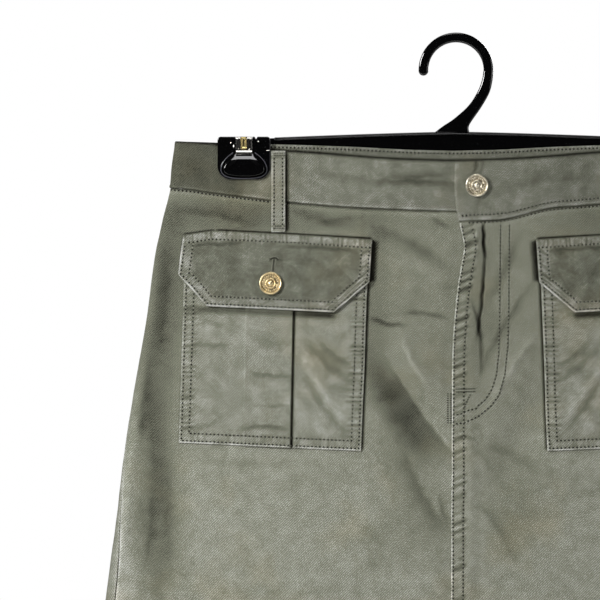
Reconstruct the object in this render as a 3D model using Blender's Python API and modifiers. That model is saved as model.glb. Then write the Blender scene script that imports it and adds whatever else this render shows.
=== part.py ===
"""A cargo utility skirt held by a clip hanger: one named solid for each piece that is cut,
sewn on or fitted.

Metres, +Z up. The front faces -Y, and the wearer's left is +X. The origin is the inside of
the hook's top, where a rail carries the hanger. A "drop" is a distance below the origin.
"""

from collections import namedtuple
from math import copysign, cos, exp, hypot, inf, pi, sin, tau

import bmesh
import bpy
from mathutils import Matrix, Vector

# Cloth
PANEL_WALL = 0.0015
BAND_WALL = 0.0024
POCKET_WALL = 0.0012
PLEAT_RISE = 0.0012
FLAP_WALL = 0.0020
LOOP_WALL = 0.0016
SEAM_GAP = 0.0003
FRONT, BACK = -1, 1
RIGHT, LEFT = -1, 1

# Hanger: a bar with a flange along its top, end plates, a neck and a hook
HOOK_BORE = 0.0200
HOOK_WIDTH = 0.0070
HANGER_DEPTH = 0.0060
FLANGE_DEPTH = 0.0058
WEB_DEPTH = 0.0020
FLANGE_HEIGHT = 0.0024
BAR_HEIGHT = 0.0180
BAR_REACH = 0.1310
BAR_CREST = 0.0646
BAR_ARCH = 0.0042
PLATE_DEPTH = 0.0022
CLIP_X = 0.1531
CLIP_TOP = 0.0684
CLIP_FOOT = 0.0994
JAW_WIDTH = 0.0382
JAW_DEPTH = 0.0030
PAD_SIZE = (0.0342, 0.0178)
PAD_RISE = 0.0012
PAD_DROP = 0.0897
SPRING_WIDTH = 0.0116
SPRING_WALL = 0.0008
SPRING_BEND = 0.0006
SPRING_LEGS = (0.0105, 0.0160)  # front, rear

# How the skirt hangs. MID_Y parts its front from its back, and NIP is half the distance
# between their middles where a clip holds them together.
SKIRT_X = -0.0018
NIP = (BAND_WALL + SEAM_GAP) / 2
MID_Y = -HANGER_DEPTH / 2 - SEAM_GAP - BAND_WALL / 2 - NIP
NIP_HALF_WIDTH = 0.021
NIP_FADE = {FRONT: (0.084, 0.028), BACK: (inf, 0.022)}  # inwards and outwards
NIP_DROPS = (0.100, 0.185)  # held flat down to the first, free below the second
LENS_POWER = 1.2

# The section at each level: half its width, the radius of its side folds, how far the front
# and the back stand from MID_Y at the centre, and how far the side seam lies forward.
Level = namedtuple("Level", "drop half_width fold_radius front_depth back_depth seam_forward")
LEVELS = (
    Level(0.060, 0.1985, 0.0035, 0.0180, 0.0020, 0.000),
    Level(0.072, 0.2000, 0.0035, 0.0180, 0.0020, 0.000),
    Level(0.090, 0.2026, 0.0036, 0.0185, 0.0020, 0.000),
    Level(0.107, 0.2042, 0.0038, 0.0190, 0.0022, 0.000),
    Level(0.129, 0.2095, 0.0044, 0.0195, 0.0050, 0.000),
    Level(0.157, 0.2153, 0.0052, 0.0200, 0.0090, 0.000),
    Level(0.201, 0.2212, 0.0062, 0.0215, 0.0130, 0.000),
    Level(0.258, 0.2311, 0.0074, 0.0230, 0.0150, 0.000),
    Level(0.301, 0.2376, 0.0082, 0.0235, 0.0160, 0.003),
    Level(0.345, 0.2427, 0.0088, 0.0240, 0.0170, 0.007),
    Level(0.380, 0.2477, 0.0092, 0.0245, 0.0175, 0.011),
    Level(0.450, 0.2562, 0.0098, 0.0250, 0.0185, 0.012),
    Level(0.545, 0.2672, 0.0102, 0.0255, 0.0190, 0.012),
)

# The drops of the edges, by their distance round the section from the centre
Edge = namedtuple("Edge", "side front_top front_seam back_top back_seam hem")
EDGES = (
    Edge(0.000, 0.0862, 0.1226, 0.0785, 0.1150, 0.5320),
    Edge(0.035, 0.0852, 0.1213, 0.0776, 0.1142, 0.5318),
    Edge(0.065, 0.0834, 0.1200, 0.0760, 0.1130, 0.5312),
    Edge(0.095, 0.0808, 0.1180, 0.0748, 0.1116, 0.5304),
    Edge(0.132, 0.0780, 0.1143, 0.0737, 0.1098, 0.5290),
    Edge(0.170, 0.0738, 0.1096, 0.0726, 0.1078, 0.5272),
    Edge(0.200, 0.0717, 0.1058, 0.0717, 0.1058, 0.5250),
    Edge(0.240, 0.0717, 0.1058, 0.0717, 0.1058, 0.5215),
    Edge(0.280, 0.0717, 0.1058, 0.0717, 0.1058, 0.5200),
)
WIDEST = EDGES[-1].side

# The left front's edge, which laps over the right front
LapEdge = namedtuple("LapEdge", "drop x")
LAP_EDGES = (
    LapEdge(0.080, 0.0012),
    LapEdge(0.104, 0.0000),
    LapEdge(0.122, 0.0016),
    LapEdge(0.133, 0.0040),
    LapEdge(0.148, 0.0068),
    LapEdge(0.160, 0.0051),
    LapEdge(0.181, 0.0018),
    LapEdge(0.222, -0.0014),
    LapEdge(0.300, -0.0018),
    LapEdge(0.400, -0.0025),
    LapEdge(0.545, -0.0030),
)
PANEL_LAP = 0.0120
BAND_LAP = 0.0300
LAP_RAMP = 0.0100
LAP_RISE = 0.0090  # the right front reaches its depth this far along its ramp
LAP_PLAY = 0.0001
LEFT_BAND_DROP = 0.0072
LEFT_BAND_DROP_X = (0.030, 0.075)  # full up to the first, none past the second

# Folds: soft ridges, or troughs where the height is negative, along straight lines
Fold = namedtuple("Fold", "face x drop end_x end_drop width height")
FOLDS = (
    Fold(FRONT, -0.204, 0.150, -0.217, 0.262, 0.011, -0.0030),
    Fold(FRONT, -0.218, 0.285, -0.212, 0.385, 0.016, -0.0040),
    Fold(FRONT, -0.212, 0.385, -0.205, 0.560, 0.022, -0.0045),
    Fold(FRONT, -0.062, 0.220, -0.006, 0.300, 0.014, -0.0040),
    Fold(FRONT, -0.024, 0.310, -0.002, 0.356, 0.012, -0.0030),
    Fold(FRONT, -0.039, 0.205, -0.018, 0.252, 0.010, 0.0020),
    Fold(FRONT, -0.110, 0.390, -0.125, 0.570, 0.032, 0.0040),
    Fold(FRONT, 0.020, 0.400, 0.045, 0.570, 0.030, -0.0045),
    Fold(FRONT, 0.125, 0.380, 0.150, 0.570, 0.032, 0.0050),
    Fold(FRONT, 0.072, 0.235, 0.026, 0.330, 0.016, -0.0035),
    Fold(FRONT, 0.206, 0.160, 0.216, 0.290, 0.012, -0.0030),
    Fold(FRONT, 0.216, 0.300, 0.203, 0.500, 0.020, -0.0040),
    Fold(BACK, -0.150, 0.120, -0.118, 0.400, 0.022, 0.0045),
    Fold(BACK, 0.152, 0.120, 0.128, 0.430, 0.024, 0.0050),
    Fold(BACK, -0.050, 0.240, -0.085, 0.570, 0.030, -0.0060),
    Fold(BACK, 0.055, 0.260, 0.078, 0.570, 0.028, -0.0050),
    Fold(BACK, 0.004, 0.130, 0.014, 0.280, 0.022, -0.0040),
    Fold(BACK, -0.200, 0.300, -0.190, 0.570, 0.022, 0.0040),
    Fold(BACK, 0.190, 0.330, 0.205, 0.570, 0.020, 0.0035),
)

# The pockets: the distances from the centre of their inner edge, pleat folds and outer
# edge, at the mouth and at the foot, then their drops at the inner and the outer edge
POCKET_TOP = (0.0618, 0.1146, 0.1490, 0.1935)
POCKET_FOOT = (0.0668, 0.1174, 0.1516, 0.1980)
POCKET_DROPS = (0.1560, 0.1545)
POCKET_FOOT_DROPS = (0.2950, 0.2892)
POCKET_GRID = (4, 3, 4)
POCKET_ROWS = 9
PLEAT_EDGE = 0.0006

# The flaps: from their outer to their inner edge
FLAP_TOP = (0.1951, 0.0585)
FLAP_SLANT = 0.0022
FLAP_TOP_DROPS = (0.1387, 0.1363, 0.1424)  # at the outer corner, by the loop, at the inner
FLAP_CREST = 0.17
FLAP_SIDE_DROPS = (0.1682, 0.1738)
FLAP_MITRES = (0.145, 0.814)
FLAP_FOOT_DROPS = (0.1909, 0.1953)
FLAP_SEWN = 0.20  # the share of the way to the pocket's mouth that lies flat on the panel

LOOP_WIDTH = 0.0104
LOOP_LENGTH = 0.0594
LOOP_BOW = {FRONT: 0.0006, BACK: 0.0}
FRONT_LOOP_X = 0.1264
BACK_LOOP_X = 0.1050
BACK_LOOP_DROP = 0.0010

BUTTON_RADIUS = 0.0083
BUTTON_SIDES = 20
# Radius and height, from the dome at the middle, out over the rim and under to the shank
BUTTON_PROFILE = (
    (0.0000, 0.0039),
    (0.0016, 0.0036),
    (0.0024, 0.0027),
    (0.0062, 0.0027),
    (0.0074, 0.0035),
    (BUTTON_RADIUS, 0.0026),
    (0.0078, 0.0015),
    (0.0030, 0.0012),
    (0.0028, 0.0000),
    (0.0000, 0.0000),
)
WAIST_BUTTON = (0.0161, 0.1040)
POCKET_BUTTON = (0.1313, 0.1752)

Finish = namedtuple("Finish", "name colour roughness metallic")
TWILL = Finish("sage_twill", (0.215, 0.218, 0.168), 0.85, 0.0)
TWILL_LIGHT = Finish("sage_twill_pocket", (0.235, 0.240, 0.188), 0.85, 0.0)
TWILL_DARK = Finish("sage_twill_band", (0.190, 0.192, 0.148), 0.85, 0.0)
PALE_BRASS = Finish("pale_brass", (0.72, 0.62, 0.40), 0.25, 1.0)
GOLD_BRASS = Finish("gold_brass", (0.80, 0.60, 0.28), 0.25, 1.0)
BLACK_PLASTIC = Finish("black_plastic", (0.006, 0.006, 0.007), 0.18, 0.0)
STEEL = Finish("spring_steel", (0.62, 0.60, 0.56), 0.22, 1.0)


def smooth(share):
    """0 to 1, easing in and out."""
    share = max(0.0, min(1.0, share))
    return share * share * (3 - 2 * share)


def mix(first, second, share):
    return first + (second - first) * share


def read(table, at, column):
    """A named column of a table, read smoothly between the rows on either side of `at`."""
    keys = [row[0] for row in table]
    values = [getattr(row, column) for row in table]
    at = max(keys[0], min(keys[-1], at))
    row = max(i for i in range(len(keys) - 1) if keys[i] <= at)
    span = keys[row + 1] - keys[row]
    share = (at - keys[row]) / span
    before, after = max(row - 1, 0), min(row + 2, len(keys) - 1)
    slope_in = (values[row + 1] - values[before]) / (keys[row + 1] - keys[before]) * span
    slope_out = (values[after] - values[row]) / (keys[after] - keys[row]) * span
    rise = values[row + 1] - values[row]
    bend = (slope_in - rise) * (1 - share) - (slope_out - rise) * share
    return values[row] + rise * share + share * (1 - share) * bend


# ---- The form of the hung skirt ----


def relief(face, x, drop):
    """How far the folds raise this point of a wall."""
    height = 0.0
    for fold in FOLDS:
        if fold.face != face:
            continue
        along_x, along_drop = fold.end_x - fold.x, fold.end_drop - fold.drop
        length = hypot(along_x, along_drop)
        share = ((x - fold.x) * along_x + (drop - fold.drop) * along_drop) / length**2
        aside = ((x - fold.x) * along_drop - (drop - fold.drop) * along_x) / length
        height += fold.height * exp(-((aside / fold.width) ** 2) - (2 * share - 1) ** 4)
    return height


def held(face, x, drop):
    """How firmly the clips and the bar hold the walls together here, from 0 to 1."""
    world_x = abs(SKIRT_X + x)
    inwards, outwards = NIP_FADE[face]
    from_clip = world_x - CLIP_X
    fade = outwards if from_clip > 0 else inwards
    across = smooth(1 - (abs(from_clip) - NIP_HALF_WIDTH) / fade)
    first, last = NIP_DROPS
    return across * smooth(1 - (drop - first) / (last - first))


def half_gap(face, x, drop):
    """How far this wall's middle stands from MID_Y."""
    radius = read(LEVELS, drop, "fold_radius")
    flat = read(LEVELS, drop, "half_width") - radius
    depth = read(LEVELS, drop, "front_depth" if face == FRONT else "back_depth")
    swell = (1 - min(1.0, abs(x) / flat) ** 2) ** LENS_POWER
    free = radius + (depth - radius) * swell + relief(face, x, drop)
    return mix(free, NIP, held(face, x, drop))


def middle(face, side, drop):
    """A point of the cloth's middle surface. `side` runs round the section from the centre
    of the face, and on past the side fold to the other face."""
    radius = read(LEVELS, drop, "fold_radius")
    flat = read(LEVELS, drop, "half_width") - radius
    quarter = flat + radius * pi / 2
    reach = abs(side)
    if reach > quarter:
        face = -face
        reach = 2 * quarter - reach
    angle = max(0.0, reach - flat) / radius
    x = copysign(min(reach, flat) + radius * sin(angle), side)
    y = MID_Y + face * half_gap(face, x, drop) * cos(angle)
    return Vector((SKIRT_X + x, y, -drop))


def outwards(face, side, drop):
    """The unit normal of the middle surface, pointing out of the skirt."""
    step = 0.0004
    across = middle(face, side + step, drop) - middle(face, side - step, drop)
    down = middle(face, side, drop + step) - middle(face, side, drop - step)
    return (face * across.cross(down)).normalized()


def skin(face, side, drop, out):
    """The point this far outwards from the middle surface."""
    return middle(face, side, drop) + outwards(face, side, drop) * out


def edge(side, column):
    return read(EDGES, abs(side), column)


def flat_half(drop):
    """From the centre to where the side fold starts."""
    return read(LEVELS, drop, "half_width") - read(LEVELS, drop, "fold_radius")


def seam_side(face, drop):
    """From the centre of a face to its edge at the side seam."""
    quarter = flat_half(drop) + read(LEVELS, drop, "fold_radius") * pi / 2
    return quarter + face * read(LEVELS, drop, "seam_forward") - SEAM_GAP / 2


def left_band_drop(side):
    full, none = LEFT_BAND_DROP_X
    return LEFT_BAND_DROP * smooth(1 - (side - full) / (none - full))


def front_seam(side, hand):
    """The drop of the waistband's lower edge on the front."""
    return edge(side, "front_seam") + (left_band_drop(side) if hand == LEFT else 0.0)


# ---- Making objects ----


def material(finish):
    found = bpy.data.materials.get(finish.name)
    if found:
        return found
    made = bpy.data.materials.new(finish.name)
    made.use_nodes = True
    shader = made.node_tree.nodes["Principled BSDF"]
    shader.inputs["Base Color"].default_value = (*finish.colour, 1.0)
    shader.inputs["Roughness"].default_value = finish.roughness
    shader.inputs["Metallic"].default_value = finish.metallic
    made.diffuse_color = (*finish.colour, 1.0)
    return made


def add_object(name, data, finish):
    made = bpy.data.objects.new(name, data)
    bpy.data.collections["cargo_skirt"].objects.link(made)
    if finish:
        data.materials.append(material(finish))
    return made


def stations(*counts):
    """Grid stations: each zone n to n + 1 is cut into its count of equal steps."""
    found = [0.0]
    for zone, count in enumerate(counts):
        found += [zone + (i + 1) / count for i in range(count)]
    return found


def in_zones(at, stops):
    """A station's value, between the stops at the ends of its zone."""
    zone = min(int(at), len(stops) - 2)
    return mix(stops[zone], stops[zone + 1], at - zone)


def cloth(name, finish, face, columns, rows, place, lift, wall, raised=None):
    """A wall on a grid. place(u, v) gives (side, drop), lift(side, drop) the distance of the
    wall's middle from the skirt's, and raised(u, v), where given, how much thicker the wall
    is outwards."""
    mesh = bpy.data.meshes.new(name)
    grid = bmesh.new()
    across, down = len(columns) - 1, len(rows) - 1
    bmesh.ops.create_grid(grid, x_segments=across, y_segments=down, size=0.5)
    inner = set(grid.verts)
    bmesh.ops.extrude_face_region(grid, geom=grid.faces[:])
    for point in grid.verts:
        u = columns[round((point.co.x + 0.5) * across)]
        v = rows[round((point.co.y + 0.5) * down)]
        side, drop = place(u, v)
        out = lift(side, drop) + (-wall / 2 if point in inner else wall / 2)
        if raised and point not in inner:
            out += raised(u, v)
        point.co = skin(face, side, drop, out)
    bmesh.ops.recalc_face_normals(grid, faces=grid.faces)
    if grid.calc_volume(signed=True) < 0:
        bmesh.ops.reverse_faces(grid, faces=grid.faces)
    grid.to_mesh(mesh)
    grid.free()
    mesh.shade_smooth()
    mesh.set_sharp_from_angle(angle=pi / 5)
    return add_object(name, mesh, finish)


# ---- Panels and waistband ----


def no_lift(side, drop):
    return 0.0


def panel_lap_lift(hand):
    """The fronts lie one on the other along the lap, each half a wall from the middle."""
    shift = (PANEL_WALL + SEAM_GAP) / 2 + LAP_PLAY

    def lift(side, drop):
        from_edge = side - read(LAP_EDGES, drop, "x")
        if hand == RIGHT:
            return -shift * smooth((from_edge + LAP_RAMP) / LAP_RISE)
        return shift * smooth(1 - (from_edge - PANEL_LAP) / LAP_RAMP)

    return lift


def pocket_columns(drop):
    """The pocket's inner edge, pleat folds and outer edge at this level, from the centre.
    The front panels have columns along the same lines, so that a pocket lies true."""
    share = (drop - POCKET_DROPS[1]) / (POCKET_FOOT_DROPS[1] - POCKET_DROPS[1])
    share = max(-0.3, min(1.5, share))
    return [mix(top, foot, share) for top, foot in zip(POCKET_TOP, POCKET_FOOT)]


def pocket_row(side, drops):
    """A drop along the pocket's top or foot, level outside it."""
    inner, outer = POCKET_TOP[0], POCKET_TOP[-1]
    return mix(*drops, max(0.0, min(1.0, (abs(side) - inner) / (outer - inner))))


def make_front(hand, name):
    """One front, from its side seam to the centre lap. Both fronts share their rows, apart
    from the top one, so that they stay parallel where they lap."""

    def drop_at(side, v):
        stops = (
            edge(side, "front_seam"),
            pocket_row(side, POCKET_DROPS),
            pocket_row(side, POCKET_FOOT_DROPS),
            edge(side, "hem"),
        )
        if v == 0:
            return front_seam(side, hand) + SEAM_GAP / 2
        return in_zones(v, stops)

    def place(u, v):
        side_drop = drop_at(WIDEST, v)
        lap = read(LAP_EDGES, drop_at(0.0, v), "x")
        if hand == RIGHT:
            stops = [lap + PANEL_LAP, lap, lap - LAP_RAMP]
        else:
            stops = [lap, lap + PANEL_LAP, lap + PANEL_LAP + LAP_RAMP]
        stops += [hand * line for line in pocket_columns(side_drop)]
        stops += [hand * flat_half(side_drop), hand * seam_side(FRONT, side_drop)]
        side = in_zones(u, stops)
        return side, drop_at(side, v)

    columns = stations(2, 2, 4, *POCKET_GRID, 3, 3)
    rows = stations(3, POCKET_ROWS, 13)
    cloth(name, TWILL, FRONT, columns, rows, place, panel_lap_lift(hand), PANEL_WALL)


def make_back():
    def place(u, v):
        side_drop = mix(edge(WIDEST, "back_seam"), edge(WIDEST, "hem"), v)
        reach, flat = seam_side(BACK, side_drop), flat_half(side_drop)
        side = in_zones(u, (-reach, -flat, flat, reach))
        top = edge(side, "back_seam") + SEAM_GAP / 2
        return side, mix(top, edge(side, "hem"), v)

    columns = stations(5, 24, 5)
    cloth("back", TWILL, BACK, columns, stations(18), place, no_lift, PANEL_WALL)


def band_lap_lift(hand):
    shift = (BAND_WALL + SEAM_GAP) / 2 + LAP_PLAY

    def lift(side, drop):
        if hand == RIGHT:
            from_edge = side - read(LAP_EDGES, drop, "x")
            return -shift * smooth((from_edge + LAP_RAMP) / LAP_RISE)
        return shift * smooth(1 - (side - BAND_LAP) / (2 * LAP_RAMP))

    return lift


def make_band_front(hand, name):
    """One side of the front waistband. Both share their rows, apart from the bottom one."""

    def drop_at(side, v):
        if v == 1:
            return front_seam(side, hand) - SEAM_GAP / 2
        return mix(edge(side, "front_top"), edge(side, "front_seam"), v)

    def place(u, v):
        side_drop = drop_at(WIDEST, v)
        lap = read(LAP_EDGES, drop_at(0.0, v), "x")
        if hand == RIGHT:
            stops = (BAND_LAP, lap, lap - LAP_RAMP)
        else:
            stops = (lap, BAND_LAP, BAND_LAP + 2 * LAP_RAMP)
        stops += (hand * flat_half(side_drop), hand * seam_side(FRONT, side_drop))
        side = in_zones(u, stops)
        return side, drop_at(side, v)

    columns = stations(2, 2, 15, 3)
    lift = band_lap_lift(hand)
    cloth(name, TWILL_DARK, FRONT, columns, stations(3), place, lift, BAND_WALL)


def make_band_back():
    def place(u, v):
        side_drop = mix(edge(WIDEST, "back_top"), edge(WIDEST, "back_seam"), v)
        reach, flat = seam_side(BACK, side_drop), flat_half(side_drop)
        side = in_zones(u, (-reach, -flat, flat, reach))
        bottom = edge(side, "back_seam") - SEAM_GAP / 2
        return side, mix(edge(side, "back_top"), bottom, v)

    columns, rows = stations(3, 24, 3), stations(3)
    cloth("waistband_back", TWILL_DARK, BACK, columns, rows, place, no_lift, BAND_WALL)


def make_loop(name, face, centre, top):
    """A belt loop over the waistband, sewn down below it."""

    def place(u, v):
        return centre + (u - 0.5) * LOOP_WIDTH, top + LOOP_LENGTH * v

    def lift(side, drop):
        share = (drop - top) / LOOP_LENGTH
        over_band = BAND_WALL / 2 + SEAM_GAP
        over_band += LOOP_BOW[face] * sin(pi * min(1.0, share / 0.8))
        over_panel = PANEL_WALL / 2 + SEAM_GAP
        return mix(over_band, over_panel, smooth((share - 0.72) / 0.2)) + LOOP_WALL / 2

    cloth(name, TWILL, face, stations(2), stations(9), place, lift, LOOP_WALL)


# ---- Pockets, flaps and buttons ----


def pocket_lift(side, drop):
    return PANEL_WALL / 2 + SEAM_GAP + POCKET_WALL / 2


def make_pocket(hand, name):
    """A patch pocket, made from the front's points, and thicker along its box pleat."""

    def place(u, v):
        level = mix(POCKET_DROPS[1], POCKET_FOOT_DROPS[1], v)
        inner, fold_in, fold_out, outer = pocket_columns(level)
        edge_in, edge_out = fold_in + PLEAT_EDGE, fold_out - PLEAT_EDGE
        side = in_zones(u, (inner, fold_in, edge_in, edge_out, fold_out, outer))
        top, foot = pocket_row(side, POCKET_DROPS), pocket_row(side, POCKET_FOOT_DROPS)
        return hand * side, mix(top, foot, v)

    def raised(u, v):
        return PLEAT_RISE * in_zones(u, (0.0, 0.0, 1.0, 1.0, 0.0, 0.0))

    by_edge, across_pleat, by_outer = POCKET_GRID
    columns = stations(by_edge, 1, across_pleat, 1, by_outer)
    rows = [v / POCKET_ROWS for v in range(POCKET_ROWS + 1)]
    cloth(name, TWILL_LIGHT, FRONT, columns, rows, place, pocket_lift, POCKET_WALL, raised)


def flap_outline(u, v):
    """A point of a flap, whose lower corners are mitred."""
    side = mix(*FLAP_TOP, u) + FLAP_SLANT * v
    outer, crest, inner = FLAP_TOP_DROPS
    if u < FLAP_CREST:
        top = mix(outer, crest, smooth(u / FLAP_CREST))
    else:
        top = mix(crest, inner, (u - FLAP_CREST) / (1 - FLAP_CREST))
    first, last = FLAP_MITRES
    if u < first:
        foot = mix(FLAP_SIDE_DROPS[0], FLAP_FOOT_DROPS[0], u / first)
    elif u < last:
        foot = mix(*FLAP_FOOT_DROPS, (u - first) / (last - first))
    else:
        foot = mix(FLAP_FOOT_DROPS[1], FLAP_SIDE_DROPS[1], (u - last) / (1 - last))
    return side, mix(top, foot, v)


def flap_height(drop):
    """How far the flap's inner face stands off the panel's middle."""
    on_panel = PANEL_WALL / 2 + SEAM_GAP
    on_pocket = on_panel + POCKET_WALL + PLEAT_RISE + SEAM_GAP
    top = min(FLAP_TOP_DROPS)
    share = (drop - top) / (min(POCKET_DROPS) - top)
    return mix(on_panel, on_pocket, smooth((share - FLAP_SEWN) / (1 - FLAP_SEWN - 0.1)))


def make_flap(hand, name):
    def place(u, v):
        side, drop = flap_outline(in_zones(u, (0.0, *FLAP_MITRES, 1.0)), v)
        return hand * side, drop

    def lift(side, drop):
        return flap_height(drop) + FLAP_WALL / 2

    columns, rows = stations(2, 8, 2), stations(8)
    cloth(name, TWILL, FRONT, columns, rows, place, lift, FLAP_WALL)


def make_button(name, finish, side, drop, out):
    """A tack button, turned about its shank, which stands on the cloth."""
    profile = bmesh.new()
    points = [profile.verts.new((radius, 0.0, height)) for radius, height in BUTTON_PROFILE]
    for first, second in zip(points, points[1:]):
        profile.edges.new((first, second))
    mesh = bpy.data.meshes.new(name)
    profile.to_mesh(mesh)
    profile.free()
    button = add_object(name, mesh, finish)
    turned = button.modifiers.new("turned", "SCREW")
    turned.steps = turned.render_steps = BUTTON_SIDES
    turned.use_merge_vertices = True
    turned.merge_threshold = 0.00005
    turned.use_smooth_shade = True
    turn = outwards(FRONT, side, drop).to_track_quat("Z", "Y").to_matrix().to_4x4()
    button.matrix_world = Matrix.Translation(skin(FRONT, side, drop, out)) @ turn


# ---- Hanger and clips ----


def arc(x, z, radius, start, end, count):
    """Points on an arc, with its angles in turns."""
    turns = [mix(start, end, i / count) * tau for i in range(count + 1)]
    return [(x + radius * cos(turn), z + radius * sin(turn)) for turn in turns]


def oval(x, z, width, height, power, count):
    """Points on a squared oval."""
    found = []
    for i in range(count):
        c, s = cos(tau * i / count), sin(tau * i / count)
        across = copysign(abs(c) ** (2 / power), c)
        up = copysign(abs(s) ** (2 / power), s)
        found.append((x + across * width / 2, z + up * height / 2))
    return found


def slab(name, outline, near, far, axis, finish=None):
    """A flat outline as a mesh between two planes. It lies in XZ for axis Y, or in YZ for
    axis X."""
    curve = bpy.data.curves.new(name + "_outline", "CURVE")
    curve.dimensions = "2D"
    curve.fill_mode = "BOTH"
    curve.extrude = abs(far - near) / 2
    spline = curve.splines.new("POLY")
    spline.points.add(len(outline) - 1)
    for point, (across, up) in zip(spline.points, outline):
        point.co = (across, up, 0.0, 1.0)
    spline.use_cyclic_u = True
    guide = bpy.data.objects.new(name + "_outline", curve)
    bpy.data.collections["cargo_skirt"].objects.link(guide)
    bpy.context.view_layer.update()
    graph = bpy.context.evaluated_depsgraph_get()
    mesh = bpy.data.meshes.new_from_object(guide.evaluated_get(graph))
    mesh.name = name
    bpy.data.objects.remove(guide)
    bpy.data.curves.remove(curve)
    upright = Matrix.Rotation(pi / 2, 4, "X")
    if axis == "X":
        upright = Matrix.Rotation(pi / 2, 4, "Z") @ upright
    shift = Vector((0, (near + far) / 2, 0) if axis == "Y" else ((near + far) / 2, 0, 0))
    welded = bmesh.new()
    welded.from_mesh(mesh)
    bmesh.ops.remove_doubles(welded, verts=welded.verts, dist=0.00001)
    bmesh.ops.transform(welded, matrix=Matrix.Translation(shift) @ upright, verts=welded.verts)
    bmesh.ops.recalc_face_normals(welded, faces=welded.faces)
    welded.to_mesh(mesh)
    welded.free()
    mesh.materials.clear()
    return add_object(name, mesh, finish)


def join(target, others):
    """Boolean unions, applied by the build, with the joined shapes kept as hidden cutters."""
    for other in others:
        union = target.modifiers.new("with_" + other.name, "BOOLEAN")
        union.operation = "UNION"
        union.object = other
        other.hide_render = True
        other.display_type = "WIRE"
        bpy.data.collections["cargo_skirt"].objects.unlink(other)
        bpy.data.collections["joined_shapes"].objects.link(other)


def bar_top(x):
    return -BAR_CREST - BAR_ARCH * (abs(x) / BAR_REACH) ** 1.3


def arched_strip(name, reach, top_shift, height, depth):
    """A strip under the bar's arched top edge."""
    count = 16
    xs = [reach * (2 * i / count - 1) for i in range(count + 1)]
    top = [(x, bar_top(x) - top_shift) for x in xs]
    outline = top + [(x, z - height) for x, z in reversed(top)]
    return slab(name, outline, -depth / 2, depth / 2, "Y")


def hook_outline():
    """The hook opens to the wearer's right, and its neck spreads on to the bar."""
    centre = -HOOK_BORE
    outside = HOOK_BORE + HOOK_WIDTH
    mid = HOOK_BORE + HOOK_WIDTH / 2
    tip = 0.504  # turns
    tip_x, tip_z = mid * cos(tip * tau), centre + mid * sin(tip * tau)
    rim = arc(0.0, centre, outside, tip, 0.0, 18)
    neck_right = [
        (0.0262, -0.0285),
        (0.0238, -0.0372),
        (0.0179, -0.0476),
        (0.0116, -0.0566),
        (0.0092, -0.0612),
        (0.0100, -0.0660),
    ]
    neck_left = [
        (-0.0165, -0.0660),
        (-0.0094, -0.0606),
        (-0.0014, -0.0552),
        (0.0090, -0.0458),
        (0.0156, -0.0357),
        (0.0188, -0.0272),
    ]
    bore = arc(0.0, centre, HOOK_BORE, 0.0, tip, 16)
    end = arc(tip_x, tip_z, HOOK_WIDTH / 2, tip + 0.5, tip, 6)[1:-1]
    return rim + neck_right + neck_left + bore + end


def make_hanger():
    half = HANGER_DEPTH / 2
    hanger = slab("hanger", hook_outline(), -half, half, "Y", BLACK_PLASTIC)
    flange = arched_strip("bar_flange", BAR_REACH, 0.0, FLANGE_HEIGHT, FLANGE_DEPTH)
    web = arched_strip("bar_web", CLIP_X - 0.014, 0.0004, BAR_HEIGHT, WEB_DEPTH)
    plates = []
    for hand, name in ((RIGHT, "plate_right"), (LEFT, "plate_left")):
        centre_z = -(CLIP_TOP + CLIP_FOOT) / 2
        height = CLIP_FOOT - CLIP_TOP
        outline = oval(hand * (CLIP_X - 0.0012), centre_z, JAW_WIDTH + 0.002, height, 7, 32)
        plates.append(slab(name, outline, -half, -half + PLATE_DEPTH, "Y"))
    join(hanger, [flange, web, *plates])


def clip_front():
    """The front face of the waistband between the jaws."""
    return MID_Y - NIP - BAND_WALL / 2


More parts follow.
